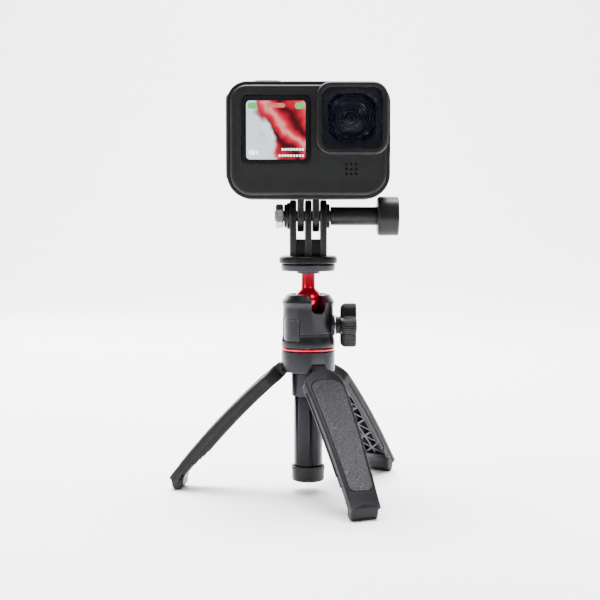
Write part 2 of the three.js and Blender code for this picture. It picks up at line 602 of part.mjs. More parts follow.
function headHousing() {
  const outer = turned([
    [0, HEAD_FLOOR_Z], [HEAD_FOOT_R, HEAD_FLOOR_Z], [HEAD_FOOT_R, HEAD_FLOOR_Z + HEAD_FLARE / 2],
    [HEAD_R, HEAD_FLOOR_Z + HEAD_FLARE], [HEAD_R, HEAD_TOP_Z - 2], [HEAD_R - 0.6, HEAD_TOP_Z - 0.6],
    [HEAD_R - 1.8, HEAD_TOP_Z], [0, HEAD_TOP_Z],
  ], 36);
  const bore = rod('z', SEAT_R + RUN, HEAD_BORE_Z, HEAD_TOP_Z + 1, [0, 0], 36);
  const tubeSocket = rod('z', INNER_TUBE_R + GAP, HEAD_FLOOR_Z - 1, TUBE_SOCKET_Z + 0.6, [0, 0], 32);
  const notch = radialCut(NOTCH_AZIMUTH, NOTCH_WIDTH, SEAT_R - 1, 20, NOTCH_FLOOR_Z, HEAD_TOP_Z + 1);
  const screwHole = rod('x', LOCK_SCREW_R + RUN, 2, 20, [0, LOCK_Z], 20);
  const badge = radialCut(BADGE.azimuth, BADGE.width, HEAD_R - BADGE.depth, 20,
    BADGE.z - BADGE.height / 2, BADGE.z + BADGE.height / 2);
  return cut(outer, bore, tubeSocket, notch, screwHole, badge);
}

// Collet that grips the ball: round outside, hollow ball inside, cut away at the notch.
function ballSeat() {
  const inner = BALL_R + RUN;
  const [low, high] = [NOTCH_FLOOR_Z - 1.6, HEAD_TOP_Z - 0.6];
  const mouth = CUP_R + 0.4;
  const lowAngle = -THREE.MathUtils.radToDeg(Math.acos(mouth / inner));
  const highAngle = THREE.MathUtils.radToDeg(Math.asin((high - BALL_Z) / inner));
  return turned([
    ...arc(inner, lowAngle, highAngle, BALL_Z, 5), [SEAT_R, high], [SEAT_R, low], [mouth, low],
  ], 36);
}

// Cup that the lock screw drives up against the ball.
function pressureCup() {
  return rod('z', CUP_R, LOCK_Z + LOCK_SCREW_R + GAP, BALL_Z - BALL_R - 2 * GAP, [0, 0], 24);
}

const lockScrew = () => rod('x', LOCK_SCREW_R, 2.6, LOCK_X + LOCK_GRIP, [0, LOCK_Z], 20);

// Wing knob on the lock screw: a hub with lobes round it.
function lockKnob() {
  const end = LOCK_X + LOCK_THICK;
  const hub = rod('x', LOCK_HUB_R, LOCK_X, end, [0, LOCK_Z], 28);
  const boss = rod('x', 4.2, HEAD_FOOT_R + GAP, LOCK_X + 0.5, [0, LOCK_Z], 24);
  const reach = LOCK_LOBE_REACH - LOCK_LOBE_R;
  const lobes = Array.from({ length: LOCK_LOBES }, (_, i) => {
    const angle = degrees(90 + (360 * i) / LOCK_LOBES);
    const [dy, dz] = [reach * Math.cos(angle), reach * Math.sin(angle)];
    return rod('x', LOCK_LOBE_R, LOCK_X + 0.4, end, [dy, LOCK_Z + dz], 20);
  });
  const screwHole = rod('x', LOCK_SCREW_R + GAP, 0, LOCK_X + LOCK_GRIP + GAP, [0, LOCK_Z], 20);
  return cut(join(hub, boss, ...lobes), screwHole);
}

// ---------- Column ----------
function tube(outerR, fromZ, toZ, segments = 28) {
  const innerR = outerR - TUBE_WALL;
  return turned([[innerR, fromZ], [outerR, fromZ], [outerR, toZ], [innerR, toZ]], segments);
}

const MID_FOOT_Z = TUBE_FOOT_Z + 2 * GAP;
const outerTube = () => tube(TUBE_R, TUBE_FOOT_Z, COLLAR_TOP - 2);
const midTube = () => tube(MID_TUBE_R, MID_FOOT_Z, HEAD_FLOOR_Z - 2 * GAP);
const innerTube = () => tube(INNER_TUBE_R, MID_FOOT_Z + 2 * GAP, TUBE_SOCKET_Z);

function endCap() {
  const inner = TUBE_R + GAP;
  return turned([
    [0, CAP_Z], [CAP_R - 1, CAP_Z], [CAP_R, CAP_Z + 1], [CAP_R, CAP_Z + CAP_HEIGHT],
    [inner, CAP_Z + CAP_HEIGHT], [inner, TUBE_FOOT_Z - GAP], [0, TUBE_FOOT_Z - GAP],
  ], 36);
}

function columnSleeve() {
  const foot = SLEEVE_TOP_Z - COLUMN_SLEEVE_HEIGHT;
  const [inner, outer] = [TUBE_R + GAP, COLUMN_SLEEVE_R];
  return turned([[inner, foot], [outer, foot], [outer, SLEEVE_TOP_Z], [inner, SLEEVE_TOP_Z]], 36);
}

// Collar that carries the legs: a ring with three slots and the pin bores across them.
function legCollar() {
  const ring = turned([
    [TUBE_R + GAP, COLLAR_Z], [COLLAR_R, COLLAR_Z], [COLLAR_R, COLLAR_TOP], [TUBE_R + GAP, COLLAR_TOP],
  ], 36);
  const cuts = Object.values(LEG_AZIMUTHS).flatMap((azimuth) => [
    radialCut(azimuth, TONGUE_WIDTH + 2 * RUN, LEG_PIVOT_R - KNUCKLE_R - RUN, 20,
      COLLAR_Z - 5, LEG_PIVOT_Z + KNUCKLE_R + RUN),
    pinAt(azimuth, LEG_PIN_R + GAP, LEG_PIN_LENGTH + 2 * GAP),
  ]);
  return cut(ring, ...cuts);
}

function pinAt(azimuth, r, length) {
  const shape = new THREE.CylinderGeometry(r, r, length, 12).translate(LEG_PIVOT_R, 0, LEG_PIVOT_Z);
  return solid(shape.rotateZ(degrees(azimuth - 90)));
}

const accentRing = () => turned([
  [TUBE_R + GAP, COLLAR_TOP + GAP], [COLLAR_R, COLLAR_TOP + GAP],
  [COLLAR_R, COLLAR_TOP + GAP + ACCENT_THICK], [TUBE_R + GAP, COLLAR_TOP + GAP + ACCENT_THICK],
], 36);

// ---------- Leg (folded: pivot at the origin, +X outwards, the leg hangs along -Z) ----------
// The outer face is a shallow arc between its two ends.
const faceAt = (w) => LEG_FACE + LEG_BULGE * 4 * (w / LEG_LENGTH) * (1 - w / LEG_LENGTH);

// Carries an arched section down the leg, from `lowX` under the face line to `highX` above it.
function archedBar(lowX, highX, from, to) {
  const half = LEG_WIDTH_TOP / 2 + 1;
  const radius = (half ** 2 + LEG_CROWN ** 2) / (2 * LEG_CROWN);
  const steps = 7;
  const section = new THREE.Shape().moveTo(half, -lowX).lineTo(-half, -lowX);
  for (let i = 0; i <= steps; i += 1) {
    const y = -half + (2 * half * i) / steps;
    section.lineTo(y, -(highX - radius + Math.sqrt(radius ** 2 - y ** 2)));
  }
  const [a, b, mid] = [from, to, (from + to) / 2].map((w) => new THREE.Vector3(faceAt(w), 0, -w));
  const control = mid.clone().multiplyScalar(2).sub(a.clone().add(b).multiplyScalar(0.5));
  const path = new THREE.QuadraticBezierCurve3(a, control, b);
  return solid(new THREE.ExtrudeGeometry(section, { steps: 8, bevelEnabled: false, extrudePath: path }));
}

const halfWidth = (w) => (LEG_WIDTH_TOP + (LEG_WIDTH_FOOT - LEG_WIDTH_TOP) * (w / LEG_LENGTH)) / 2;

// The leg's front view, drawn as (y, -w), shrunk by `inset` and given depth along X.
function legPlan(inset, from, to, round) {
  const [top, foot] = [halfWidth(from) - inset, halfWidth(to) - inset];
  const slope = inset ? round : SHOULDER_RUN;
  const neck = inset ? top - round : TONGUE_WIDTH / 2;
  const shape = new THREE.Shape()
    .moveTo(-neck, -from)
    .lineTo(neck, -from)
    .lineTo(top, -from - slope)
    .lineTo(foot, -to + round)
    .quadraticCurveTo(foot, -to, foot - round, -to)
    .lineTo(-foot + round, -to)
    .quadraticCurveTo(-foot, -to, -foot, -to + round)
    .lineTo(-top, -from - slope);
  return sideSlab(shape, -12, 14, 4);
}

function legTongue() {
  const shape = new THREE.Shape()
    .moveTo(-KNUCKLE_R, -7)
    .lineTo(-KNUCKLE_R, 0)
    .absarc(0, 0, KNUCKLE_R, Math.PI, degrees(60), true)
    .lineTo(LEG_FACE - LEG_CROWN * 0.1, -1)
    .lineTo(LEG_FACE - LEG_CROWN * 0.1, -7);
  return slab(shape, -TONGUE_WIDTH / 2, TONGUE_WIDTH / 2, 0, 8);
}

const columnRoom = () => rod('z', COLUMN_CLEAR_R, -LEG_PIVOT_Z, 10, [-LEG_PIVOT_R, 0], 36);

// The hooked end of the leg at rest, as [outwards, upwards] from the end of the leg's centre line.
const SHOE_PROFILE = [
  [-3.4, 6.6], [1.2, 7], [3.1, 2.8], [2.6, -2.3], [1.6, -SOLE_DROP], [-1.4, -SOLE_DROP], [-2.8, -2],
  [-2.6, 0.6], [-4.6, 3.6],
];

function shoeBlock() {
  const points = SHOE_PROFILE.map(([out, up]) => {
    const folded = [out * REST_COS + up * REST_SIN, up * REST_COS - out * REST_SIN];
    return new THREE.Vector2(folded[0], folded[1] - LEG_LENGTH);
  });
  return slab(new THREE.Shape(points), -LEG_WIDTH_TOP, LEG_WIDTH_TOP);
}

function legBlank() {
  const bar = archedBar(-LEG_DEPTH, 0, SHOULDER, LEG_LENGTH - 1.5);
  return join(bar, shoeBlock()).intersect(legPlan(0, SHOULDER, LEG_LENGTH + 6, 2.5));
}

// Diagonal bars that run to and fro between the side walls.
function ribs(from, to) {
  const step = (to - from) / RIB_COUNT;
  return Array.from({ length: RIB_COUNT }, (_, i) => {
    const side = i % 2 ? -1 : 1;
    const [a, b] = [from + i * step, from + (i + 1) * step];
    const [ya, yb] = [side * (halfWidth(a) - 1), -side * (halfWidth(b) - 1)];
    const length = Math.hypot(yb - ya, b - a);
    const bar = new THREE.BoxGeometry(20, RIB_THICK, length)
      .rotateX(Math.atan2(yb - ya, b - a))
      .translate(0, (ya + yb) / 2, -(a + b) / 2);
    return solid(bar);
  });
}

function legShell() {
  const [from, to] = [11, SHOE_START - 2];
  const hollow = archedBar(-LEG_DEPTH - 3, -LEG_SKIN, SHOULDER, LEG_LENGTH)
    .intersect(legPlan(LEG_WALL, from, to, 2));
  const pocket = padSolid(-PAD_THICK - GAP + 0.1, 1, GAP);
  const upper = block([-20, -20, -SHOE_START], [20, 20, 10]);
  const blank = join(legBlank().intersect(upper), legTongue());
  return cut(blank, cut(hollow, ...ribs(from, to)), columnRoom(), pocket,
    rod('y', LEG_PIN_R + RUN, -10, 10, [0, 0], 12));
}

// The inset grip pad on the outer face, between two depths under the face line.
function padSolid(low, high, extra) {
  const plan = legPlan(PAD_MARGIN - extra, PAD_START - extra, PAD_END + extra, 2.4);
  const above = archedBar(-LEG_DEPTH, high, SHOULDER, LEG_LENGTH - 1.5);
  const below = archedBar(-LEG_DEPTH - 1, low, SHOULDER - 1, LEG_LENGTH - 0.5);
  return cut(above, below).intersect(plan);
}

const legPad = () => padSolid(-PAD_THICK + 0.1, 0.1, 0);

function legShoe() {
  return legBlank().intersect(block([-20, -20, -100], [20, 20, -SHOE_START - GAP]));
}

// ---------- Assembly ----------
const group = new THREE.Group();
const device = new THREE.Group();
group.add(device);

piece(device, 'leg_collar', legCollar(), 'blackMetal');
piece(device, 'accent_ring', accentRing(), 'red');
piece(device, 'outer_tube', outerTube(), 'glossBlack');
piece(device, 'column_sleeve', columnSleeve(), 'blackMetal');
piece(device, 'column_end_cap', endCap(), 'blackPlastic');
piece(device, 'mid_tube', midTube(), 'glossBlack');
piece(device, 'inner_tube', innerTube(), 'glossBlack');

for (const [side, azimuth] of Object.entries(LEG_AZIMUTHS)) {
  piece(device, `leg_${side}_pin`, pinAt(azimuth, LEG_PIN_R, LEG_PIN_LENGTH), 'steel');
  const turn = new THREE.Group();
  turn.rotation.z = degrees(azimuth - 90);
  const pivot = new THREE.Group();
  pivot.position.set(LEG_PIVOT_R, 0, LEG_PIVOT_Z);
  pivot.rotation.y = -degrees(LEG_REST_ANGLE);
  device.add(turn.add(pivot));
  piece(pivot, `leg_${side}`, legShell(), 'legPlastic');
  piece(pivot, `leg_${side}_grip_pad`, legPad(), 'grip');
  piece(pivot, `leg_${side}_shoe`, legShoe(), 'rubber');
}

piece(device, 'head_housing', headHousing(), 'blackMetal');
piece(device, 'pressure_cup', pressureCup(), 'steel');
piece(device, 'ball_seat', ballSeat(), 'blackPlastic');
piece(device, 'lock_knob', lockKnob(), 'blackPlastic');
piece(device, 'lock_screw', lockScrew(), 'steel');
piece(device, 'ball_stem', ballStem(), 'red');
piece(device, 'top_plate', topPlate(), 'blackMetal');
piece(device, 'plate_pad', platePad(), 'rubber');
piece(device, 'plate_stud', stud(), 'steel');

const hinge = new THREE.Group();
hinge.position.z = HINGE_Z;
device.add(hinge);
piece(hinge, 'mount_base', mountBase(), 'darkPlastic');
piece(hinge, 'threaded_insert', insert(), 'brass');
piece(hinge, 'hex_nut', hexNut(), 'steel');
piece(hinge, 'thumb_screw_knob', thumbKnob(), 'blackPlastic');
piece(hinge, 'thumb_screw_bolt', thumbBolt(), 'steel');

piece(hinge, 'camera_housing', housing(), 'darkPlastic');
piece(hinge, 'front_cover', frontCover(), 'darkPlastic');
piece(hinge, 'front_screen', frontScreen(), 'glass');
piece(hinge, 'rear_screen', rearScreen(), 'glass');
piece(hinge, 'lens_barrel', lensBarrel(), 'blackPlastic');
piece(hinge, 'lens_front_element', frontElement(), 'glass');
piece(hinge, 'lens_cover_frame', lensCover(), 'blackPlastic');
piece(hinge, 'lens_cover_glass', lensCoverGlass(), 'glass');
piece(hinge, 'finger_left', foldingFinger(-1), 'darkPlastic');
piece(hinge, 'finger_right', foldingFinger(1), 'darkPlastic');
piece(hinge, 'finger_pin_left', fingerPin(-1), 'steel');
piece(hinge, 'finger_pin_right', fingerPin(1), 'steel');
piece(hinge, 'battery', battery(), 'blackPlastic');
piece(hinge, 'main_board', mainBoard(), 'board');
piece(hinge, 'image_sensor_board', sensorBoard(), 'board');
piece(hinge, 'speaker', speaker(), 'blackMetal');
piece(hinge, 'battery_door', batteryDoor(), 'darkPlastic');
piece(hinge, 'door_seal', doorSeal(), 'rubber');
piece(hinge, 'door_latch', doorLatch(), 'blackPlastic');
piece(hinge, 'shutter_button', shutterButton(), 'blackPlastic');
piece(hinge, 'power_button', powerButton(), 'blackPlastic');

// The origin lies on the ground under the middle of the whole object's box.
group.updateMatrixWorld(true);
const box = new THREE.Box3().setFromObject(device, true);
const middle = box.getCenter(new THREE.Vector3());
device.position.set(-middle.x, -middle.y, -box.min.z);

export default group;
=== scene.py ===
import json
import math

import bmesh
import bpy
import numpy as np
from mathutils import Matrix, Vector


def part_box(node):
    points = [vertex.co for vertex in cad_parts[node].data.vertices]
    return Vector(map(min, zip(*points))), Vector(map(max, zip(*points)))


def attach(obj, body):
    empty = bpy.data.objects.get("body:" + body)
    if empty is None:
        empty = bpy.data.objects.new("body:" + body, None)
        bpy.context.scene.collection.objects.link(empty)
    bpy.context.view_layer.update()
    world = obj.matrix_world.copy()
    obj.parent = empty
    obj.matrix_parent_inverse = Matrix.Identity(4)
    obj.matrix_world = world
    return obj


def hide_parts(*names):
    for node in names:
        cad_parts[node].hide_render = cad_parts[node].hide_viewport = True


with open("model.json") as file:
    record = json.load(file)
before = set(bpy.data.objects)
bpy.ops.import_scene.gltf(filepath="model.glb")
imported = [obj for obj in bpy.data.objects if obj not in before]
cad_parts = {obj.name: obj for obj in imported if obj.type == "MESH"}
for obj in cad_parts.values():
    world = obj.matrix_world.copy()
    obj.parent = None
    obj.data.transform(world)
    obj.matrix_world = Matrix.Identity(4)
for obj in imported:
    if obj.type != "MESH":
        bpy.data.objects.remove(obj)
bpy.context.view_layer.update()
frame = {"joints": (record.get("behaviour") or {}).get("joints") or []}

# ---------------------------------------------------------------------------------------------
# The view: the stand is seen from the lens side through a short telephoto lens, level with the
# camera's hinge, a little to the left of the column and tipped slightly down.
MM = 0.001
joints = {joint["name"]: joint for joint in frame["joints"]}
foot = np.array([*joints["ball_pan"]["pos_m"][:2], 0.0])  # where the column's axis meets the ground
VIEW_FROM = (-3.65, -560.0, 122.9)
VIEW_TIP = 3.77

eye = bpy.data.objects.new("view", bpy.data.cameras.new("view"))
eye.data.lens = 75.6
eye.data.sensor_width = 36.0
eye.location = Vector(foot) + Vector(VIEW_FROM) * MM
eye.rotation_euler = (math.radians(90 - VIEW_TIP), 0, 0)
bpy.context.scene.collection.objects.link(eye)
bpy.context.scene.camera = eye


# ---------------------------------------------------------------------------------------------
# The studio: a sheet of white card that lies on a table and curves up behind, with one large
# soft light on either side, one overhead and one behind, in a white room.
def linear(colour):
    """An sRGB hex colour as linear red, green, blue and alpha."""
    parts = [int(colour[i : i + 2], 16) / 255 for i in (1, 3, 5)]
    return (*[p / 12.92 if p <= 0.04045 else ((p + 0.055) / 1.055) ** 2.4 for p in parts], 1.0)


def add(tree, kind, settings=None, **inputs):
    """Adds a node. An input is a value or another node's output; _ is a space, n1 is input 1."""
    node = tree.nodes.new(kind)
    for name, value in (settings or {}).items():
        setattr(node, name, value)
    for name, value in inputs.items():
        key = int(name[1:]) if name[1:].isdigit() else name.replace("_", " ")
        if isinstance(value, bpy.types.NodeSocket):
            tree.links.new(value, node.inputs[key])
        else:
            node.inputs[key].default_value = value
    return node


def new_material(name, **shader):
    """A material with one Principled shader set as given: the material, its tree, the shader."""
    material = bpy.data.materials.new(name)
    material.use_nodes = True
    tree = material.node_tree
    tree.nodes.clear()
    surface = add(tree, "ShaderNodeBsdfPrincipled", **shader)
    tree.links.new(surface.outputs[0], add(tree, "ShaderNodeOutputMaterial").inputs[0])
    return material, tree, surface


# Uncoated white card: matt, with a very slight mottle.
card, tree, surface = new_material("matt_white_card", Roughness=0.8, Specular_IOR_Level=0.2)
where = add(tree, "ShaderNodeTexCoord").outputs["Object"]
mottle = add(tree, "ShaderNodeTexNoise", Vector=where, Scale=6.0, Detail=3.0)
tone = add(tree, "ShaderNodeMix", {"data_type": "RGBA"}, n0=mottle.outputs[0],
           n6=linear("#fbfbfa"), n7=linear("#ffffff"))
tree.links.new(tone.outputs[2], surface.inputs["Base Color"])

SWEEP_START, SWEEP_R, SWEEP_TOP, SWEEP_HALF = 1.1, 0.5, 2.6, 2.6
bend = np.linspace(0, math.pi / 2, 24)
ground_y = np.concatenate([[-2.5], SWEEP_START + SWEEP_R * np.sin(bend), [SWEEP_START + SWEEP_R]])
ground_z = np.concatenate([[0], SWEEP_R * (1 - np.cos(bend)), [SWEEP_TOP]])
edges = [np.stack([np.full_like(ground_y, side * SWEEP_HALF), ground_y, ground_z], -1) for side in (-1, 1)]
sheet_points = np.stack(edges, axis=1).reshape(-1, 3)
strip = 2 * np.arange(len(ground_y) - 1)[:, None] + np.array([0, 1, 3, 2])
sheet_mesh = bpy.data.meshes.new("white_sweep")
sheet_mesh.from_pydata(sheet_points.tolist(), [], strip.tolist())
sheet_mesh.shade_smooth()
sheet_mesh.materials.append(card)
sweep = bpy.data.objects.new("white_sweep", sheet_mesh)
bpy.context.scene.collection.objects.link(sweep)


def soft_light(name, place, size, watts, target=(0, 0, 0.1)):
    """A square area light at a place, in metres, turned to face a target."""
    lamp = bpy.data.lights.new(name, "AREA")
    lamp.shape, lamp.size, lamp.energy = "SQUARE", size, watts
    light = bpy.data.objects.new(name, lamp)
    light.location = place
    light.rotation_euler = (Vector(target) - Vector(place)).to_track_quat("-Z", "Y").to_euler()
    bpy.context.scene.collection.objects.link(light)


soft_light("key_light", (0.5, -0.55, 0.5), 0.3, 1.6)
soft_light("left_light", (-0.6, -0.35, 0.35), 0.35, 1.3)
soft_light("top_light", (0.0, 0.1, 1.0), 0.7, 24.0)
soft_light("back_light", (-0.35, 0.8, 0.6), 0.6, 10.0)
soft_light("card_light", (0.0, 0.5, 1.8), 1.2, 150.0, (0, 1.7, 0.4))
room = bpy.data.worlds.new("white_room")
room.use_nodes = True
room.node_tree.nodes["Background"].inputs["Color"].default_value = linear("#ffffff")
room.node_tree.nodes["Background"].inputs["Strength"].default_value = 0.22
bpy.context.scene.world = room


# ---------------------------------------------------------------------------------------------
# The column: three drawn aluminium tubes, one in another, that pull out like a telescope. The
# outer one has pairs of flutes along it, a moulded cap pressed on its end and a turned sleeve
# under the collar.
def net(rows, columns, closed_rows=True):
    """Quads between the points of a grid whose columns wrap round, and its rows too if closed."""
    row = np.arange(rows if closed_rows else rows - 1)[:, None]
    column = np.arange(columns)[None, :]
    after, beside = (row + 1) % rows, (column + 1) % columns
    corners = [row * columns + column, row * columns + beside,
               after * columns + beside, after * columns + column]
    return np.stack(np.broadcast_arrays(*corners), axis=-1).reshape(-1, 4).tolist()


def tidied(mesh):
    """Merges a mesh's doubled points and turns its faces outwards."""
    work = bmesh.new()
    work.from_mesh(mesh)
    bmesh.ops.remove_doubles(work, verts=work.verts, dist=1e-5)
    bmesh.ops.recalc_face_normals(work, faces=work.faces)
    work.to_mesh(mesh)
    work.free()


def put(name, shape, material, body, slot, *nodes, crease=38):
    """Makes a piece of a shape in millimetres from the column's foot. It rides on a body, takes the
    material given, stands for the CAD nodes named, and is smooth but for edges past the crease. The slot's
    name is not used."""
    points, faces = shape
    mesh = bpy.data.meshes.new(name)
    mesh.from_pydata(np.asarray(points).tolist(), [], faces)
    tidied(mesh)
    place = np.empty(len(mesh.vertices) * 3)
    mesh.vertices.foreach_get("co", place)
    mesh.vertices.foreach_set("co", (place.reshape(-1, 3) * MM + foot).ravel())
    mesh.shade_smooth()
    mesh.set_sharp_from_angle(angle=math.radians(crease))
    mesh.materials.append(material)
    piece = bpy.data.objects.new(name, mesh)
    bpy.context.scene.collection.objects.link(piece)
    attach(piece, body)
    if nodes:
        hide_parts(*nodes)
    return piece


def extent(node):
    """A CAD node's lowest and highest corner, in millimetres from the column's foot."""
    low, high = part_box(node)
    return (np.array(low) - foot) / MM, (np.array(high) - foot) / MM


def eased(corners, ease, steps=6):
    """Rounds a closed polygon: each corner becomes a parabola from `ease` before it to `ease`
    after it along its two sides."""
    at = np.asarray(corners, float)
    back, on = np.roll(at, 1, axis=0) - at, np.roll(at, -1, axis=0) - at
    back_length = np.linalg.norm(back, axis=1, keepdims=True)
    on_length = np.linalg.norm(on, axis=1, keepdims=True)
    reach = np.broadcast_to(np.asarray(ease, float), len(at))[:, None]
    reach = np.minimum(reach, 0.48 * np.minimum(back_length, on_length))
    start, end = at + back / back_length * reach, at + on / on_length * reach
    t = np.linspace(0, 1, steps)[None, :, None]
    curve = (1 - t) ** 2 * start[:, None] + 2 * t * (1 - t) * at[:, None] + t**2 * end[:, None]
    return curve.reshape(-1, 2)


AXES = {"z": (0, 1, 2), "x": (2, 0, 1), "y": (0, 2, 1)}


def turned(profile, centre=(0, 0, 0), axis="z", segments=96, swell=None):
    """A closed profile of (radius, height) carried once round an axis. `swell` scales the radius
    by a function of the angle."""
    radius, height = np.asarray(profile, float).T
    angle = np.arange(segments) / segments * 2 * math.pi
    scale = np.ones_like(angle) if swell is None else swell(angle)
    ring = np.stack([np.outer(radius, scale * np.cos(angle)), np.outer(radius, scale * np.sin(angle)),
                     np.repeat(height[:, None], segments, axis=1)], axis=-1)
    return ring[..., AXES[axis]].reshape(-1, 3) + np.asarray(centre, float), net(len(radius), segments)


def recipe(name, colour, rough, grain, depth, spread=0.08, wear_and_highlight=None, metallic=0.0, **shader):
    """A finish with a fine surface grain of a real size and depth in millimetres, a roughness that
    wanders by `spread` and edges that are lightened towards the colour `wear_and_highlight`: partly rub
    wear, partly a painted highlight along the rims."""
    material, tree, surface = new_material(name, Metallic=metallic, **shader)
    where = add(tree, "ShaderNodeTexCoord").outputs["Object"]
    fine = add(tree, "ShaderNodeTexNoise", Vector=where, Scale=1 / (grain * MM), Detail=4.0, Roughness=0.6)
    broad = add(tree, "ShaderNodeTexNoise", Vector=where, Scale=1 / (18 * MM), Detail=3.0)
    mix = add(tree, "ShaderNodeMath", {"operation": "MULTIPLY_ADD"}, n0=fine.outputs[0], n1=0.5)
    tree.links.new(broad.outputs[0], mix.inputs[2])
    rough_range = add(tree, "ShaderNodeMapRange", Value=mix.outputs[0], From_Min=0.45, From_Max=1.05,
                      To_Min=rough - spread, To_Max=rough + spread)
    tree.links.new(rough_range.outputs[0], surface.inputs["Roughness"])
    bump = add(tree, "ShaderNodeBump", Strength=1.0, Distance=depth * MM, Height=fine.outputs[0])
    tree.links.new(bump.outputs[0], surface.inputs["Normal"])
    base = linear(colour)
    darker = tuple(channel * 0.82 for channel in base[:3]) + (1.0,)
    tone = add(tree, "ShaderNodeMix", {"data_type": "RGBA"}, n0=broad.outputs[0], n6=darker, n7=base)
    # Pointiness picks out the convex rims, and they are lightened towards the rim colour: partly rub wear,
    # partly a painted highlight where edges catch the light.
    edge = add(tree, "ShaderNodeMapRange", Value=add(tree, "ShaderNodeNewGeometry").outputs["Pointiness"],
               From_Min=0.52, From_Max=0.62, To_Min=0.0, To_Max=0.4)
    rim_wear_and_highlight = add(tree, "ShaderNodeMix", {"data_type": "RGBA"}, n0=edge.outputs[0],
                 n6=tone.outputs[2], n7=linear(wear_and_highlight or colour))
    tree.links.new(rim_wear_and_highlight.outputs[2], surface.inputs["Base Color"])
    return material


def carry(node, material):
    """Gives a CAD node that keeps its own shape a finish."""
    mesh = bpy.data.objects[node].data
    mesh.materials.clear()
    mesh.materials.append(material)


# Drawn aluminium tube, bright dipped and dyed black: a hard gloss with long clear highlights.
tube_black = recipe("bright_dipped_black_aluminium", "#141417", 0.17, 0.4, 0.001, 0.04, "#4a4a50", 0.9)
# Turned aluminium, bead blasted and anodised black: satin, with broad soft highlights.
satin_black = recipe("blasted_black_anodised_aluminium", "#2f2f33", 0.34, 0.45, 0.004, 0.05, "#77777c", 0.9)
# Moulded ABS with a fine spark-eroded grain: dull black with a soft sheen.
black_abs = recipe("spark_eroded_black_abs", "#0d0d0e", 0.42, 0.55, 0.010, 0.06, "#2c2c2e",
                   Specular_IOR_Level=0.25)

FLUTE_AZIMUTH = math.radians(-64)  # middle of the pair of flutes near the front, from +X
FLUTE_SPREAD, FLUTE_HALF, FLUTE_DEPTH = math.radians(6.5), math.radians(2.6), 0.055


def fluted(angle):
    """Radius scale: one, less a bell-shaped dip at each flute. Flutes lie in pairs, thrice round."""
    turn = (angle - FLUTE_AZIMUTH + math.pi / 3) % (2 * math.pi / 3) - math.pi / 3
    return 1 - FLUTE_DEPTH * sum(np.exp(-(((turn - s * FLUTE_SPREAD) / FLUTE_HALF) ** 4)) for s in (-1, 1))


def tube_shape(node, wall=0.6):
    """A fluted tube of a wall's thickness, its rims slightly rounded."""
    low, high = extent(node)
    r = high[0]
    profile = eased([(r - wall, low[2]), (r, low[2]), (r, high[2]), (r - wall, high[2])], 0.15, 3)
    return turned(profile, segments=540, swell=fluted)


put("fluted_outer_tube", tube_shape("outer_tube"), tube_black, "stand", "tube_black", "outer_tube")
put("fluted_middle_tube", tube_shape("mid_tube"), tube_black, "mast_mid", "tube_black", "mid_tube")
put("fluted_inner_tube", tube_shape("inner_tube"), tube_black, "head", "tube_black", "inner_tube")

low, high = extent("column_end_cap")
cap_r, cap_bore, LIP = high[0], extent("outer_tube")[1][0] + 0.3, 1.5
cap_profile = eased([(0, low[2]), (cap_r - 0.35, low[2]), (cap_r - 0.2, high[2] - LIP),
                     (cap_r, high[2] - LIP),
                     (cap_r, high[2]), (cap_bore, high[2]), (cap_bore, low[2] + 2.1), (0, low[2] + 2.1)],
                    [0.01, 1.1, 0.15, 0.15, 0.35, 0.2, 0.1, 0.01])
put("lipped_end_cap", turned(cap_profile), black_abs, "stand", "soft_black_plastic", "column_end_cap")

low, high = extent("column_sleeve")
sleeve_profile = eased([(high[0] - 0.7, low[2]), (high[0], low[2]), (high[0], high[2]),
                        (high[0] - 0.7, high[2])], 0.3)
put("turned_column_sleeve", turned(sleeve_profile), satin_black, "stand", "black_anodised", "column_sleeve")


# ---------------------------------------------------------------------------------------------
# The collar: a turned ring, slotted for the three legs, with a polished red ring above it. Each
# leg swings on a steel pin across its slot.
def joined(*shapes):
    """Several closed shapes as one."""
    counts = np.cumsum([0] + [len(points) for points, _ in shapes])
    faces = [[index + start for index in face] for (_, fs), start in zip(shapes, counts) for face in fs]
    return np.concatenate([np.asarray(points) for points, _ in shapes]), faces


def worked(shape, *tools, how="DIFFERENCE"):
    """A closed shape with others cut from it, or joined to it, or kept only where they overlap."""
    made = []
    for points, faces in (shape, *tools):
        mesh = bpy.data.meshes.new("blank")
        mesh.from_pydata(np.asarray(points).tolist(), [], faces)
        tidied(mesh)
        made.append(bpy.data.objects.new("blank", mesh))
        bpy.context.scene.collection.objects.link(made[-1])
    for tool in made[1:]:
        step = made[0].modifiers.new("work", "BOOLEAN")
        step.operation, step.object, step.solver = how, tool, "EXACT"
    result = made[0].evaluated_get(bpy.context.evaluated_depsgraph_get()).to_mesh()
    points = np.empty(len(result.vertices) * 3)
    result.vertices.foreach_get("co", points)
    faces = [list(face.vertices) for face in result.polygons]
    for blank in made:
        bpy.data.objects.remove(blank)
    return points.reshape(-1, 3), faces


def loft(rings, capped=True):
    """Rings of equally many points joined by quads, with a flat face at each end if capped, or
    closed on itself if not."""
    rings = np.asarray(rings, float)
    rows, columns = rings.shape[:2]
    faces = net(rows, columns, closed_rows=not capped)
    if capped:
        faces += [list(range(columns)), list(range((rows - 1) * columns, rows * columns))]
    return rings.reshape(-1, 3), faces


PLANES = {"xz": (0, 2, 1), "yz": (2, 0, 1), "xy": (0, 1, 2)}


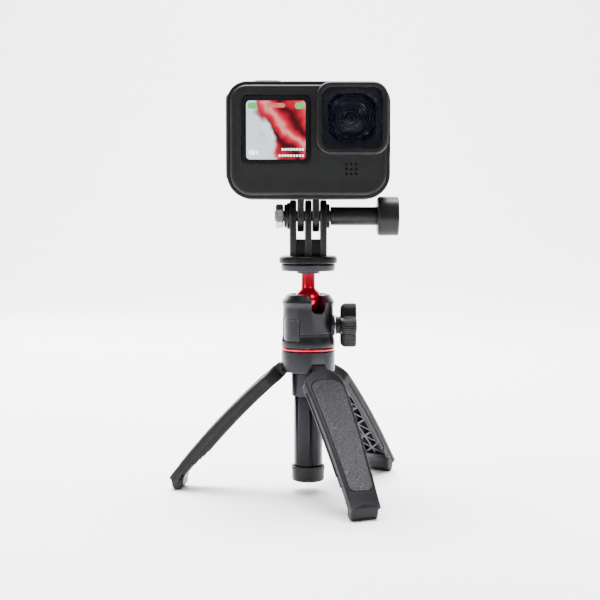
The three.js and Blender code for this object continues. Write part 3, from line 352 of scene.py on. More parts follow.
def slab(outline, near, far, ease=0.3, plane="xz", middle=(0, 0), steps=6):
    """A plate whose outline, a function of how far it is drawn in, keeps its shape from one depth
    to the other. At both rims the draw-in and the depth follow a quarter circle."""
    near_ease, far_ease = ease if isinstance(ease, tuple) else (ease, ease)
    turn = np.linspace(0, math.pi / 2, steps)
    flat = 0.05
    draw = np.concatenate([[near_ease + flat], near_ease * (1 - np.sin(turn)), [0, 0],
                           far_ease * (1 - np.sin(turn[::-1])), [far_ease + flat]])
    depth = np.concatenate([[near], near + near_ease * (1 - np.cos(turn)), [near + near_ease + flat],
                            [far - far_ease - flat], far - far_ease * (1 - np.cos(turn[::-1])), [far]])
    rings = []
    for inset, at in zip(draw, depth):
        line = outline(inset) + np.asarray(middle, float)
        rings.append(np.column_stack([line, np.full(len(line), at)])[:, PLANES[plane]])
    return loft(rings)


def rounded(width, height, corner, foot_corner=None, steps=10):
    """Outline of a rectangle about the origin with a quarter circle at each corner, as a function
    of how far it is drawn in."""
    foot_corner = corner if foot_corner is None else foot_corner
    turn = np.linspace(0, math.pi / 2, steps)

    def outline(inset):
        w, h = width / 2 - inset, height / 2 - inset
        corners = [(1, 1, corner), (-1, 1, corner), (-1, -1, foot_corner), (1, -1, foot_corner)]
        arcs = []
        for quarter, (sx, sy, size) in enumerate(corners):
            r = max(size - inset, 0.02)
            a = turn + quarter * math.pi / 2
            arcs.append(np.column_stack([sx * (w - r) + r * np.cos(a), sy * (h - r) + r * np.sin(a)]))
        return np.concatenate(arcs)

    return outline


def swung(shape, azimuth, radius=0.0, tilt=0.0, height=0.0):
    """A shape drawn with +X outwards and +Y to the side, tipped outwards by an angle about a line
    at a radius and height, then swung to an azimuth, in degrees, counted from the front."""
    points, faces = shape
    points = np.asarray(points, float)
    a, b = math.radians(tilt), math.radians(azimuth)
    out = points[:, 0] * math.cos(a) - points[:, 2] * math.sin(a) + radius
    up = points[:, 0] * math.sin(a) + points[:, 2] * math.cos(a) + height
    side = points[:, 1]
    return np.column_stack([out * math.sin(b) + side * math.cos(b), -out * math.cos(b) + side * math.sin(b),
                            up]), faces


LEGS = {}
for side in ("left", "front", "rear"):
    pivot = (np.array(joints[f"leg_{side}_fold"]["pos_m"]) - foot) / MM
    LEGS[side] = (math.degrees(math.atan2(pivot[0], -pivot[1])), math.hypot(pivot[0], pivot[1]), pivot[2])
TONGUE, KNUCKLE_R = 5.8, 2.1
PIVOT_R, PIVOT_Z = LEGS["front"][1:]

low, high = extent("leg_collar")
bore = extent("outer_tube")[1][0] + 0.3
ring = turned(eased([(bore, low[2]), (high[0], low[2]), (high[0], high[2]), (bore, high[2])],
                    [0.2, 0.7, 0.35, 0.2]),
              segments=144)
slots = [swung(slab(rounded(TONGUE + 0.6, PIVOT_Z + KNUCKLE_R + 0.3 - low[2] + 5, 0.5),
                    PIVOT_R - KNUCKLE_R - 0.3, 20,
                    0.05, "yz", (0, (low[2] - 5 + PIVOT_Z + KNUCKLE_R + 0.3) / 2)), azimuth)
         for azimuth, _, _ in LEGS.values()]
put("slotted_leg_collar", worked(ring, *slots), satin_black, "stand", "black_anodised", "leg_collar")

# Aluminium, polished and anodised red: a deep red under a clear dyed skin, with pink highlights.
polished_red = recipe("polished_red_anodised_aluminium", "#e01636", 0.2, 0.5, 0.001, 0.03, "#e8405c", 0.8)
low, high = extent("accent_ring")
bead = eased([(bore, low[2]), (high[0], low[2]), (high[0], high[2]), (bore, high[2])],
             [0.1, 0.45, 0.45, 0.1])
put("red_accent_ring", turned(bead, segments=144), polished_red, "stand", "red_anodised", "accent_ring")

# Zinc-plated steel: bright, slightly blue, with fine drawing marks.
zinc_steel = recipe("zinc_plated_steel", "#8c8f94", 0.26, 0.5, 0.003, 0.07, "#ffffff", 1.0)
for side in LEGS:
    carry(f"leg_{side}_pin", zinc_steel)


# ---------------------------------------------------------------------------------------------
# The legs: moulded in glass-filled nylon, hollow behind with a lattice of ribs. Each has a
# crowned back with a soft grip pad let into it, and a hooked rubber shoe on its end, with the
# shell running down over the front of the shoe and sagging a little towards its edges.
LENGTH, FACE, BULGE, CROWN, DEPTH = 71.5, 4.15, 1.9, 1.5, 6.7
SHOULDER, SHOULDER_RUN, SHELL_END, SHOE_START = 3.4, 6.2, 70.6, 67.2
PAD_START, PAD_END, PAD_MARGIN = 9.5, 65.2, 1.6
SAG, SAG_START, SAG_RUN = 0.05, 66, 4
HALF_TOP, HALF_FOOT = 9.5, 6.5
crown_r = ((HALF_TOP + 1) ** 2 + CROWN**2) / (2 * CROWN)


def face_line(w):
    """Height of the back's middle line over the pivot line: a parabola along the leg."""
    return FACE + 4 * BULGE * (w / LENGTH) * (1 - w / LENGTH)


def crowned(y):
    """Fall of the back away from its middle line: an arc of a circle."""
    return np.sqrt(crown_r**2 - y**2) - crown_r


def half_width(w):
    """Half the leg's width: a straight taper, brought in to the tongue by rounded shoulders."""
    taper = HALF_TOP + (HALF_FOOT - HALF_TOP) * w / LENGTH
    return TONGUE / 2 + (taper - TONGUE / 2) * math.sin(min(max((w - SHOULDER) / SHOULDER_RUN, 0),
                                                            1) * math.pi / 2) ** 0.8


def leg_ring(w, half, low, high, ease, step=0.0):
    """Cross-section at a distance down the leg, from `low` to `high` over the back's line, with
    the crown on top and, if asked, its side walls stepped in below the back's edge."""
    y = np.linspace(-half, half, 9)
    top = face_line(w)
    crest = np.column_stack([y, top + high + crowned(y)])
    edge = crest[0, 1] - 1.7
    left = [(-half + step, top + low), (-half + step, edge - 0.3), (-half, edge)]
    right = [(half, edge), (half - step, edge - 0.3), (half - step, top + low)]
    keep = slice(0, 3) if step else slice(0, 1)
    left, right = left[keep], right[::-1][keep][::-1]
    corners = np.concatenate([left, crest, right])
    small = [0.5, 0.12, 0.12][keep]
    line = eased(corners, [*small, ease, *[0.4] * 7, ease, *small[::-1]], 5)
    return np.column_stack([line[:, 1], line[:, 0], np.full(len(line), -w)])


def pad_half(w, extra):
    """Half the pad's width: the leg's less a margin, with rounded ends."""
    half = HALF_TOP + (HALF_FOOT - HALF_TOP) * w / LENGTH - PAD_MARGIN + extra
    for end, r in ((w - PAD_START + extra, 4.4), (PAD_END + extra - w, 2.8)):
        if end < r:
            half += math.sqrt(max(r * r - (r - end) ** 2, 0)) - r
    return half


def pad_stations(extra):
    """Distances down the pad, close together at its rounded ends."""
    turn = 1 - np.cos(np.linspace(0, math.pi / 2, 12))
    start, end = PAD_START - extra, PAD_END + extra
    return np.concatenate([start + 4.4 * turn, np.linspace(start + 5.4, end - 3.8, 34),
                           end - 2.8 * turn[::-1]])


def drawn_in(line):
    """An outline as a function of how far it is drawn in, along each point's own normal."""
    line = np.asarray(line, float)
    along = np.roll(line, -1, axis=0) - np.roll(line, 1, axis=0)
    normal = np.column_stack([along[:, 1], -along[:, 0]]) / np.linalg.norm(along, axis=1, keepdims=True)
    area = np.sum(line[:, 0] * np.roll(line[:, 1], -1) - np.roll(line[:, 0], -1) * line[:, 1])
    return lambda inset: line - normal * inset * np.sign(area)


def leg_depth(w):
    """Depth of the side walls: it drops in two steps towards the foot."""
    return DEPTH - 0.7 * (w > 54.5) - 0.7 * (w > 60)


stations = np.concatenate([SHOULDER + SHOULDER_RUN * (1 - np.cos(np.linspace(0, math.pi / 2, 14))),
                           np.linspace(SHOULDER + SHOULDER_RUN + 0.8, 54.4, 36), np.linspace(54.7, 59.9, 6),
                           np.linspace(60.2, SHELL_END, 6)])
rings = [leg_ring(w, half_width(w), -leg_depth(w), 0, 1.5, 0.35) for w in stations]
rings.append(leg_ring(SHELL_END + 0.45, half_width(SHELL_END) - 0.5, -leg_depth(SHELL_END) + 0.3, -0.5, 1.2,
                      0.35))
blank_points, blank_faces = loft(rings)
sagging = np.clip((-blank_points[:, 2] - SAG_START) / SAG_RUN, 0, 1)
blank_points[:, 2] -= SAG * blank_points[:, 1] ** 2 * sagging
blank = blank_points, blank_faces
HOLLOW_START, HOLLOW_END, WALL, SKIN = 11.0, 64.7, 1.4, 1.9
RECESS_LOW, RECESS_HIGH, RECESS_DEPTH, RECESS_START, RECESS_END = 5.7, 3.8, 0.7, 13, 61
recess = [(RECESS_LOW, -RECESS_DEPTH), (RECESS_LOW, 2), (RECESS_HIGH, 2), (RECESS_HIGH, -RECESS_DEPTH)]
side_panels = [loft([[(face_line(w) - drop, s * (half_width(w) + out), -w) for drop, out in recess]
                     for w in np.linspace(RECESS_START, RECESS_END, 25)]) for s in (-1, 1)]
hollow = loft([leg_ring(w, half_width(w) - WALL, -DEPTH - 3, -SKIN, 0.4)
               for w in np.linspace(HOLLOW_START, HOLLOW_END, 30)])
pocket = loft([leg_ring(w, pad_half(w, 0.35), -1.0, 2, 0.05) for w in pad_stations(0.35)])
knuckle = [(KNUCKLE_R * math.cos(a), KNUCKLE_R * math.sin(a)) for a in np.radians(np.linspace(180, 60, 14))]
tongue = slab(drawn_in(eased([(-KNUCKLE_R, -7), *knuckle, (FACE - 0.15, -1), (FACE - 0.15, -7)], 0.3)),
              -TONGUE / 2, TONGUE / 2, 0.3, "xz")
column_room = turned([(0, -60), (8.1, -60), (8.1, 10), (0, 10)], (-PIVOT_R, 0, 0), segments=72)
pin_bore = turned([(0, -9), (1.2, -9), (1.2, 9), (0, 9)], axis="y", segments=32)
leg_shell = worked(worked(blank, tongue, how="UNION"), hollow, pocket, column_room, pin_bore,
                   *side_panels)

# The lattice: bars that cross from wall to wall, and one down the middle.
RIB, CELLS = 0.9, 6
bars = []
cell_ends = np.linspace(HOLLOW_START - 0.3, HOLLOW_END + 0.3, CELLS + 1)
runs = [(a, side * (half_width(a) - WALL + 0.15), b, -side * (half_width(b) - WALL + 0.15))
        for a, b in zip(cell_ends[:-1], cell_ends[1:]) for side in (-1, 1)]
runs += [(a, 0, b, 0) for a, b in zip(cell_ends[:-1], cell_ends[1:])]
for a, ya, b, yb in runs:
    across = np.array([b - a, ya - yb]) / math.hypot(b - a, yb - ya) * RIB / 2
    ends = []
    for w, y in ((a, ya), (b, yb)):
        deep, top = face_line(w) - leg_depth(w) + 0.9, face_line(w) - SKIN + 0.4 - (0.5 if y else 0)
        line = np.array([(deep, -1), (deep, 1), (top, 1), (top, -1)])
        ends.append(np.column_stack([line[:, 0], y + line[:, 1] * across[0], -w - line[:, 1] * across[1]]))
    bars.append(loft(ends))
lattice = joined(*bars)

pad = loft([leg_ring(w, pad_half(w, 0), -0.75, 0.12, 0.5) for w in pad_stations(0)])
TOE_EDGE = (3.75, -71.3)
toe_line = eased([(4.3, -SHOE_START + 2), TOE_EDGE, (0.5, -74.8), (-1.5, -75.4), (-3.7, -73.4),
                  (-3.3, -71.0),
                  (-1.6, -69.3), (-0.6, -SHOE_START + 2)], [0.02, 0.7, 0.7, 0.8, 0.8, 0.5, 0.8, 0.15])
toe_points, toe_faces = slab(drawn_in(toe_line), 0.15 - HALF_FOOT, HALF_FOOT - 0.15, 1.3, "xz")
near_edge = np.exp(-(((toe_points[:, 0] - TOE_EDGE[0]) ** 2 + (toe_points[:, 2] - TOE_EDGE[1]) ** 2) / 1.2))
toe_points[:, 2] -= SAG * toe_points[:, 1] ** 2 * near_edge
toe_points[:, 0] += crowned(toe_points[:, 1]) * np.clip((toe_points[:, 0] + 1) / 4, 0, 1)
toe_points[:, 1] *= 1 + (SHOE_START + toe_points[:, 2]) * 0.007
toe_points[:, 2] = np.minimum(toe_points[:, 2], -SHOE_START)

# Glass-filled nylon from a spark-eroded mould: dull charcoal with a fine even grain.
leg_nylon = recipe("spark_eroded_glass_nylon", "#18181c", 0.44, 0.55, 0.012, 0.06, "#4a4a50",
                   Specular_IOR_Level=0.18)
# Soft rubber from a plain mould: near black and matt.
foot_rubber = recipe("moulded_rubber", "#1a1a1e", 0.46, 0.5, 0.008, 0.05, "#4a4a50",
                     Specular_IOR_Level=0.2)

# Leather-grained soft plastic: pebbles about a millimetre across with creases between them, their
# tops polished by the mould so that they sparkle. The creases are coloured darker than the tops as painted
# shade.
PEBBLE = 0.95
grip, tree, surface = new_material("leather_grained_soft_plastic")
where = add(tree, "ShaderNodeTexCoord").outputs["Object"]
bent = add(tree, "ShaderNodeTexNoise", Vector=where, Scale=1 / (2.5 * MM), Detail=2.0)
shift = add(tree, "ShaderNodeVectorMath", {"operation": "MULTIPLY_ADD"}, n0=bent.outputs["Color"],
            n1=(0.0008, 0.0008, 0.0008), n2=where)
cells = add(tree, "ShaderNodeTexVoronoi", {"feature": "F1"}, Vector=shift.outputs[0],
            Scale=1 / (PEBBLE * MM))
creases = add(tree, "ShaderNodeTexVoronoi", {"feature": "DISTANCE_TO_EDGE"}, Vector=shift.outputs[0],
              Scale=1 / (PEBBLE * MM))
pebble = add(tree, "ShaderNodeMapRange", {"interpolation_type": "SMOOTHSTEP"},
             Value=creases.outputs["Distance"],
             From_Min=0.0, From_Max=0.28)
relief = add(tree, "ShaderNodeBump", Strength=1.0, Distance=0.16 * MM, Height=pebble.outputs[0])
tree.links.new(relief.outputs[0], surface.inputs["Normal"])
gloss = add(tree, "ShaderNodeMapRange", Value=cells.outputs["Distance"], From_Min=0.0, From_Max=0.7,
            To_Min=0.3, To_Max=0.58)
tree.links.new(gloss.outputs[0], surface.inputs["Roughness"])
# Painted shade: the colour runs from dark in the creases to lighter on the pebble tops.
tone = add(tree, "ShaderNodeMix", {"data_type": "RGBA"}, n0=pebble.outputs[0], n6=linear("#121216"),
           n7=linear("#2a2931"))
tree.links.new(tone.outputs[2], surface.inputs["Base Color"])

for side, (azimuth, radius, height) in LEGS.items():
    body, at = f"leg_{side}", (azimuth, radius, joints[f"leg_{side}_fold"]["range_deg"][1], height)
    put(f"hollow_leg_{side}", swung(leg_shell, *at), leg_nylon, body, "leg_plastic", f"leg_{side}",
        crease=32)
    put(f"leg_lattice_{side}", swung(lattice, *at), leg_nylon, body, "leg_plastic")
    put(f"grained_pad_{side}", swung(pad, *at), grip, body, "grip_pad", f"leg_{side}_grip_pad")
    put(f"hooked_shoe_{side}", swung((toe_points, toe_faces), *at), foot_rubber, body, "rubber",
        f"leg_{side}_shoe")


# ---------------------------------------------------------------------------------------------
# The ball head: a turned and blasted aluminium cup with a flared foot, a blank panel let into its
# left side and a notch that the stem drops into. A knob on a screw drives a cup up under the ball.
low, high = extent("head_housing")
head_low, head_top = low[2], high[2]
foot_r = high[0]
head_r = foot_r - 0.5
seat_bore = extent("ball_seat")[1][0] + 0.3
BORE_FLOOR, STEP_Z = 76.2, 71.2
profile = eased([(0, head_low), (foot_r, head_low), (foot_r, head_low + 2.3), (head_r, head_low + 4.8),
                 (head_r, STEP_Z), (head_r - 0.14, STEP_Z + 0.15), (head_r - 0.14, STEP_Z + 0.4),
                 (head_r, STEP_Z + 0.55),
                 (head_r - 0.25, head_top - 5.5), (head_r + 0.3, head_top - 3.4),
                 (head_r - 1.9, head_top - 0.2),
                 (seat_bore + 0.4, head_top), (seat_bore, head_top - 0.6), (seat_bore, BORE_FLOOR),
                 (0, BORE_FLOOR)],
                [0.01, 0.4, 1.2, 1.2, 0.08, 0.08, 0.08, 0.08, 1.5, 0.4, 0.7, 0.2, 0.2, 0.2, 0.01])
NOTCH_AZIMUTH, NOTCH_HALF, NOTCH_FLOOR = 24.5, 3.4, 80.4
notch_line = eased([(-9, 94), (-9, head_top), (-NOTCH_HALF, head_top), (-NOTCH_HALF, NOTCH_FLOOR),
                    (NOTCH_HALF, NOTCH_FLOOR), (NOTCH_HALF, head_top), (9, head_top), (9, 94)],
                   [0.1, 0.1, 2.6, 3.1, 3.1, 1.6, 0.1, 0.1], 10)
notch = swung(slab(drawn_in(notch_line), 2, 20, 0.02, "yz"), NOTCH_AZIMUTH)
low, high = extent("inner_tube")
tube_socket = turned([(0, head_low - 1), (high[0] + 0.3, head_low - 1), (high[0] + 0.3, high[2] + 0.6),
                      (0, high[2] + 0.6)])
screw_low, screw_high = extent("lock_screw")
LOCK_Z = (screw_low[2] + screw_high[2]) / 2
screw_hole = turned([(0, 2), (2.1, 2), (2.1, 20), (0, 20)], (0, 0, LOCK_Z), "x", 48)


def panel(radius, middle, half_angle, half_height, corner, top):
    """A curved block round the axis between a radius and a top: at each angle its height follows a
    rectangle with rounded corners."""
    rings = []
    for angle in np.linspace(-half_angle, half_angle, 41):
        end = max(corner - (half_angle - abs(angle)) * radius, 0)
        half = half_height - corner + math.sqrt(max(corner**2 - end**2, 0))
        azimuth = middle + angle
        out = np.array([math.sin(azimuth), -math.cos(azimuth)])
        rows = np.array([-1, -0.88, -0.4, 0, 0.4, 0.88, 1]) * half
        rings.append([(*out * radius, -half), *[(*out * top, z) for z in rows], (*out * radius, half)])
    return loft(rings)


PANEL_Z, PANEL_MID = 73.1, math.radians(-56)
frame_cut, faces = panel(head_r - 1.0, PANEL_MID, 0.66, 5.3, 1.0, head_r + 2)
badge, _ = panel(head_r - 2.0, PANEL_MID, 0.605, 4.6, 0.6, head_r - 0.5)
frame_cut, badge = [(points + np.array([0, 0, PANEL_Z]), faces) for points in (frame_cut, badge)]
BOSS_START, BOSS_R = 7, 4.6
boss_end = extent("lock_knob")[0][0] - 0.3
screw_boss = turned(eased([(0, BOSS_START), (BOSS_R, BOSS_START), (BOSS_R, boss_end), (0, boss_end)],
                          [0.01, 0.1, 0.5, 0.01]), (0, 0, LOCK_Z), "x", 64)
head = worked(worked(turned(profile, segments=144), screw_boss, how="UNION"), notch, tube_socket,
              screw_hole, frame_cut)
head = worked(head, badge, how="UNION")
put("flared_head_cup", head, satin_black, "head", "black_anodised", "head_housing", crease=30)
carry("pressure_cup", zinc_steel)
seat_low, seat_high = extent("ball_seat")
ball_low = extent("ball_stem")[0]
gap_r = extent("ball_stem")[1][0] + 0.3
BALL_Z = ball_low[2] + gap_r - 0.3
dip = np.arcsin(np.linspace((seat_low[2] + 0.6 - BALL_Z) / gap_r, (seat_high[2] - BALL_Z) / gap_r, 20))
collet = np.concatenate([np.column_stack([gap_r * np.cos(dip), BALL_Z + gap_r * np.sin(dip)]),
                         [(seat_high[0], seat_high[2]), (seat_high[0], seat_low[2]),
                          (gap_r * math.cos(dip[0]), seat_low[2])]])
put("notched_ball_seat", worked(turned(collet, segments=128), notch), black_abs, "ball_liner",
    "soft_black_plastic", "ball_seat")
carry("lock_screw", zinc_steel)

low, high = extent("lock_knob")
LOBE_LOW, LOBE_HIGH = 6.0, high[2] - LOCK_Z


def lobed(inset):
    """Outline of the knob: a four-lobed wave with fine ridges over the tips of the lobes."""
    angle = np.linspace(0, 2 * math.pi, 361)[:-1]
    wave = (1 + np.cos(4 * angle)) / 2
    r = LOBE_LOW + (LOBE_HIGH - LOBE_LOW) * wave**0.9 - inset
    r += 0.3 * np.clip(wave - 0.3, 0, 0.4) * (np.cos(angle * 60) - 1)
    return np.column_stack([r * np.cos(angle), r * np.sin(angle)])


neck = turned(eased([(0, low[0]), (4.2, low[0]), (3.8, low[0] + 1.0), (4.4, 16), (0, 16)],
                    [0.01, 0.3, 1.0, 0.1, 0.01]),
              (0, 0, LOCK_Z), "x", 64)
dish = turned([(0, high[0] - 0.7), (3.4, high[0] - 0.7), (3.9, high[0] + 1), (0, high[0] + 1)],
              (0, 0, LOCK_Z), "x", 64)
wing = worked(slab(lobed, 14.2, high[0], (2.4, 0.8), "yz", (0, LOCK_Z)), dish)
put("four_lobed_lock_knob", joined(neck, wing), black_abs, "lock_knob", "knob_plastic", "lock_knob")


# ---------------------------------------------------------------------------------------------
# The ball and its stem, turned in one piece and polished and anodised red. Above it a blasted
# plate with a rubber ring in its top and a steel stud through its middle.
low, high = extent("ball_stem")
BALL_R, STEM_R = high[0], 3.0
ball_z = low[2] + BALL_R
meet = math.acos((STEM_R + 0.5) / BALL_R)
sphere = [(BALL_R * math.cos(a), ball_z + BALL_R * math.sin(a)) for a in np.linspace(-math.pi / 2, meet,
                                                                                     40)]
meet_z = sphere[-1][1]
stem = [(STEM_R + 0.12, meet_z + 0.5), (STEM_R, meet_z + 1.0), (STEM_R, high[2]), (0, high[2])]
put("polished_ball_and_stem", turned([*sphere, *stem], segments=128), polished_red, "ball_stem",
    "red_anodised", "ball_stem",
    crease=50)

low, high = extent("top_plate")
stud_r = extent("plate_stud")[1][0]
profile = eased([(stud_r + 0.3, low[2]), (STEM_R, low[2]), (STEM_R, low[2] - 1.1), (5.0, low[2] - 1.1),
                 (5.1, low[2] + 0.2), (high[0] - 0.5, low[2] + 0.2),
                 (high[0] - 0.3, low[2] + 0.6), (high[0], high[2] - 0.4), (high[0] - 0.4, high[2]),
                 (high[0] - 1.7, high[2]), (high[0] - 1.7, high[2] - 0.9), (stud_r + 0.3, high[2] - 0.9)],
                [0.1, 0.05, 0.1, 0.4, 0.1, 0.15, 0.15, 0.2, 0.1, 0.1, 0.1, 0.1])
put("chamfered_top_plate", turned(profile, segments=128), satin_black, "ball_stem", "black_anodised",
    "top_plate")
carry("plate_pad", foot_rubber)
carry("plate_stud", zinc_steel)


# ---------------------------------------------------------------------------------------------
# The three-prong base: moulded nylon with a round foot, webs between its prongs, a boss for the
# nut and a smaller one for the knob's sleeve. A brass insert is set in its foot.
HINGE_Z = (joints["camera_pitch"]["pos_m"][2]) / MM
base_low = extent("mount_base")[0]
DISC_R, DISC_THICK, PRONG_R, PRONG_THICK, OUTER_IN, OUTER_OUT = 12.9, 3.4, 7.1, 3.0, 5.2, 8.2
disc_top = base_low[2] + DISC_THICK

# Nylon from a polished mould: black, with crisp pale lines along its rims that are partly rub wear and
# partly a painted highlight.
base_nylon = recipe("semi_gloss_black_nylon", "#09090a", 0.34, 0.5, 0.006, 0.06, "#4c4c50",
                    Specular_IOR_Level=0.18)


def prong_line(inset):
    """Outline of a prong from the side: straight up from its foot and round over the bolt."""
    r = PRONG_R - inset
    arch = np.radians(np.linspace(0, 180, 40))
    return np.column_stack([np.concatenate([r * np.cos(arch), [-r, r]]),
                            np.concatenate([HINGE_Z + r * np.sin(arch), [disc_top - 0.5] * 2])])


rim = [(0, base_low[2]), (DISC_R - 0.35, base_low[2]), (DISC_R, base_low[2] + 0.35),
       (DISC_R, disc_top - 0.9),
       (DISC_R - 0.9, disc_top), (0, disc_top)]
disc = turned(eased(rim, [0.01, 0.2, 0.3, 0.8, 0.9, 0.01]), segments=128)
prongs = [slab(prong_line, a, b, 0.75, "yz") for a, b in
          ((-PRONG_THICK / 2, PRONG_THICK / 2), (OUTER_IN, OUTER_OUT), (-OUTER_OUT, -OUTER_IN))]
web = slab(rounded(2 * PRONG_R - 2, 7.9, 0.6), -OUTER_OUT + 1, OUTER_OUT - 1, 0.3, "yz",
           (0, disc_top + 3.35))
nut_boss = turned(eased([(0, -10.7), (5.2, -10.7), (5.2, -9.6), (5.9, -9.3), (5.9, -7.5), (0, -7.5)],
                        [0.01, 0.3, 0.2, 0.3, 0.1, 0.01]), (0, 0, HINGE_Z), "x")
sleeve_boss = turned(eased([(0, 7.5), (5.4, 7.5), (5.4, 9.5), (0, 9.5)], [0.01, 0.1, 0.4, 0.01]),
                     (0, 0, HINGE_Z), "x")
put("three_prong_base", joined(disc, *prongs, web, nut_boss, sleeve_boss), base_nylon, "mount_base",
    "mount_plastic",
    "mount_base", crease=32)

# Turned brass: warm yellow with fine tool marks.
turned_brass = recipe("turned_brass", "#b58f4a", 0.32, 0.4, 0.003, 0.06, "#e0c080", 1.0)
carry("threaded_insert", turned_brass)

low, high = extent("hex_nut")
ACROSS = (high[1] - low[1]) if high[1] - low[1] < high[2] - low[2] else high[2] - low[2]
corner_r = ACROSS / math.sqrt(3)
hexagon = np.radians(60 * np.arange(6) + (0 if high[1] - low[1] > high[2] - low[2] else 30))
flats = slab(drawn_in(np.column_stack([corner_r * np.cos(hexagon), corner_r * np.sin(hexagon)])), low[0],
             high[0], 0.02,
             "yz", (0, HINGE_Z))
cone = [(0, low[0] - 0.01), (corner_r - 0.75, low[0] - 0.01), (corner_r, low[0] + 0.5),
        (corner_r, high[0] - 0.5),
        (corner_r - 0.75, high[0] + 0.01), (0, high[0] + 0.01)]
thread = turned([(0, -30), (2.7, -30), (2.7, 0), (0, 0)], (0, 0, HINGE_Z), "x", 48)
nut = worked(worked(flats, turned(cone, (0, 0, HINGE_Z), "x", 96), how="INTERSECT"), thread)
put("chamfered_hex_nut", nut, zinc_steel, "mount_base", "steel", "hex_nut", crease=20)


# ---------------------------------------------------------------------------------------------
# The thumb screw: a steel bolt moulded into a plastic knob of six soft flats on a long sleeve.
low, high = extent("thumb_screw_knob")
KNOB_R, SLEEVE_R, KNOB_X = high[2] - HINGE_Z, 4.1, high[0] - 9.4
KNOB_TURN = math.radians(13)


def six_flats(angle):
    """Radius scale: one at six soft corners and a little less between them."""
    return 1 - 0.035 * (0.5 - 0.5 * np.cos(6 * (angle - KNOB_TURN))) ** 0.8


grip_line = eased([(0, KNOB_X), (KNOB_R, KNOB_X), (KNOB_R, high[0]), (KNOB_R - 1.8, high[0]),
                   (KNOB_R - 2.3, high[0] - 0.5),
                   (0, high[0] - 0.5)], [0.01, 1.5, 1.5, 0.3, 0.3, 0.01], 9)
sleeve = turned(eased([(0, low[0]), (SLEEVE_R, low[0]), (SLEEVE_R, KNOB_X + 0.5), (0, KNOB_X + 0.5)],
                      [0.01, 0.4, 0.1, 0.01]),
                (0, 0, HINGE_Z), "x")
knob = turned(grip_line, (0, 0, HINGE_Z), "x", 144, six_flats)
put("six_flat_thumb_knob", joined(sleeve, knob), black_abs, "thumb_screw", "knob_plastic",
    "thumb_screw_knob")
# Steel blacked in hot salts: dark grey with an oily sheen.
carry("thumb_screw_bolt", recipe("hot_blacked_steel", "#232326", 0.38, 0.5, 0.003, 0.06, "#5a5a5e", 1.0))


# ---------------------------------------------------------------------------------------------
# The camera's housing: cast in a tough plastic, open in front, with a recess below for the two
# folding fingers, a battery bay on its left, and wells for its buttons and its rear screen.
cam_low, cam_high = extent("camera_housing")
BODY_LOW_Z, BODY_HIGH_Z = cam_low[2], cam_high[2]
HALF = cam_high[0]
BODY_FRONT, BODY_BACK = cam_low[1], cam_high[1]
TOP_CORNER, FOOT_CORNER, SHELL_WALL = 9.0, 11.0, 1.9
body_mid = (BODY_LOW_Z + BODY_HIGH_Z) / 2
body_height = BODY_HIGH_Z - BODY_LOW_Z

# Glass-filled plastic with a rubbery coat: an even charcoal, its edges painted very slightly lighter, partly
# as rub wear and partly as a painted highlight.
soft_coat = recipe("soft_touch_charcoal_coat", "#121314", 0.5, 0.5, 0.006, 0.05, "#2c2d30",
                   Specular_IOR_Level=0.2)


def around(node, grow=0.0, corner=1.0, near=None, far=None, plane="xz", ease=0.05):
    """A slab with a CAD node's box for its outline, grown by a gap all round."""
    low, high = extent(node)
    a, b = {"xz": (0, 2), "yz": (1, 2), "xy": (0, 1)}[plane]
    size = high - low + 2 * grow
    middle = (low + high) / 2
    return slab(rounded(size[a], size[b], corner + grow), near, far, ease, plane, (middle[a], middle[b]))


CRADLE_HALF_X, CRADLE_HALF_Y, CRADLE_DEPTH = 17.0, PRONG_R + 0.6, 4.2
shell = slab(rounded(2 * HALF, body_height, TOP_CORNER, FOOT_CORNER, 16), BODY_FRONT, BODY_BACK, (0.6, 2.6),
             "xz", (0, body_mid), 8)
cavity = slab(rounded(2 * (HALF - SHELL_WALL), body_height - 2 * SHELL_WALL, TOP_CORNER - SHELL_WALL,
                      FOOT_CORNER - SHELL_WALL), BODY_FRONT - 1, BODY_BACK - SHELL_WALL, 0.3, "xz",
              (0, body_mid))
cradle_top = BODY_LOW_Z + CRADLE_DEPTH
cradle_wall = slab(rounded(2 * (CRADLE_HALF_X + 1.6), 2 * (CRADLE_HALF_Y + 1.6), 1.5), BODY_LOW_Z + 1,
                   cradle_top + 1.2,
                   0.1, "xy")
cradle = slab(rounded(2 * CRADLE_HALF_X, 2 * CRADLE_HALF_Y, 1.2), BODY_LOW_Z - 2, cradle_top, 0.1, "xy")
door_low, door_high = extent("battery_door")
bay = around("battery_door", -2.2, 4.4, -HALF - 1, -HALF + 4, "yz")
hollowed = worked(shell, cavity)
hollowed = worked(hollowed, cradle_wall, how="UNION")
housing = worked(hollowed, cradle, around("battery_door", 0.3, 4.4, -HALF - 1, door_high[0] + 0.3, "yz"),
                 bay,
                 around("shutter_button", 0.3, 3.4, BODY_HIGH_Z - 4, BODY_HIGH_Z + 1, "xy"),
                 around("power_button", 0.3, 2.6, HALF - 4, HALF + 1, "yz"),
                 around("rear_screen", 0.3, 4.7, BODY_BACK - 1.1, BODY_BACK + 1))
put("cast_camera_housing", housing, soft_coat, "camera", "camera_shell", "camera_housing", crease=32)


def finger_line(inset):
    """Outline of a finger from the side: straight down from its root and round under the bolt."""
    r = PRONG_R - 0.1 - inset
    arch = np.radians(np.linspace(180, 360, 40))
    return np.column_stack([np.concatenate([r * np.cos(arch), [r, -r]]),
                            np.concatenate([HINGE_Z + r * np.sin(arch), [cradle_top - 0.3] * 2])])


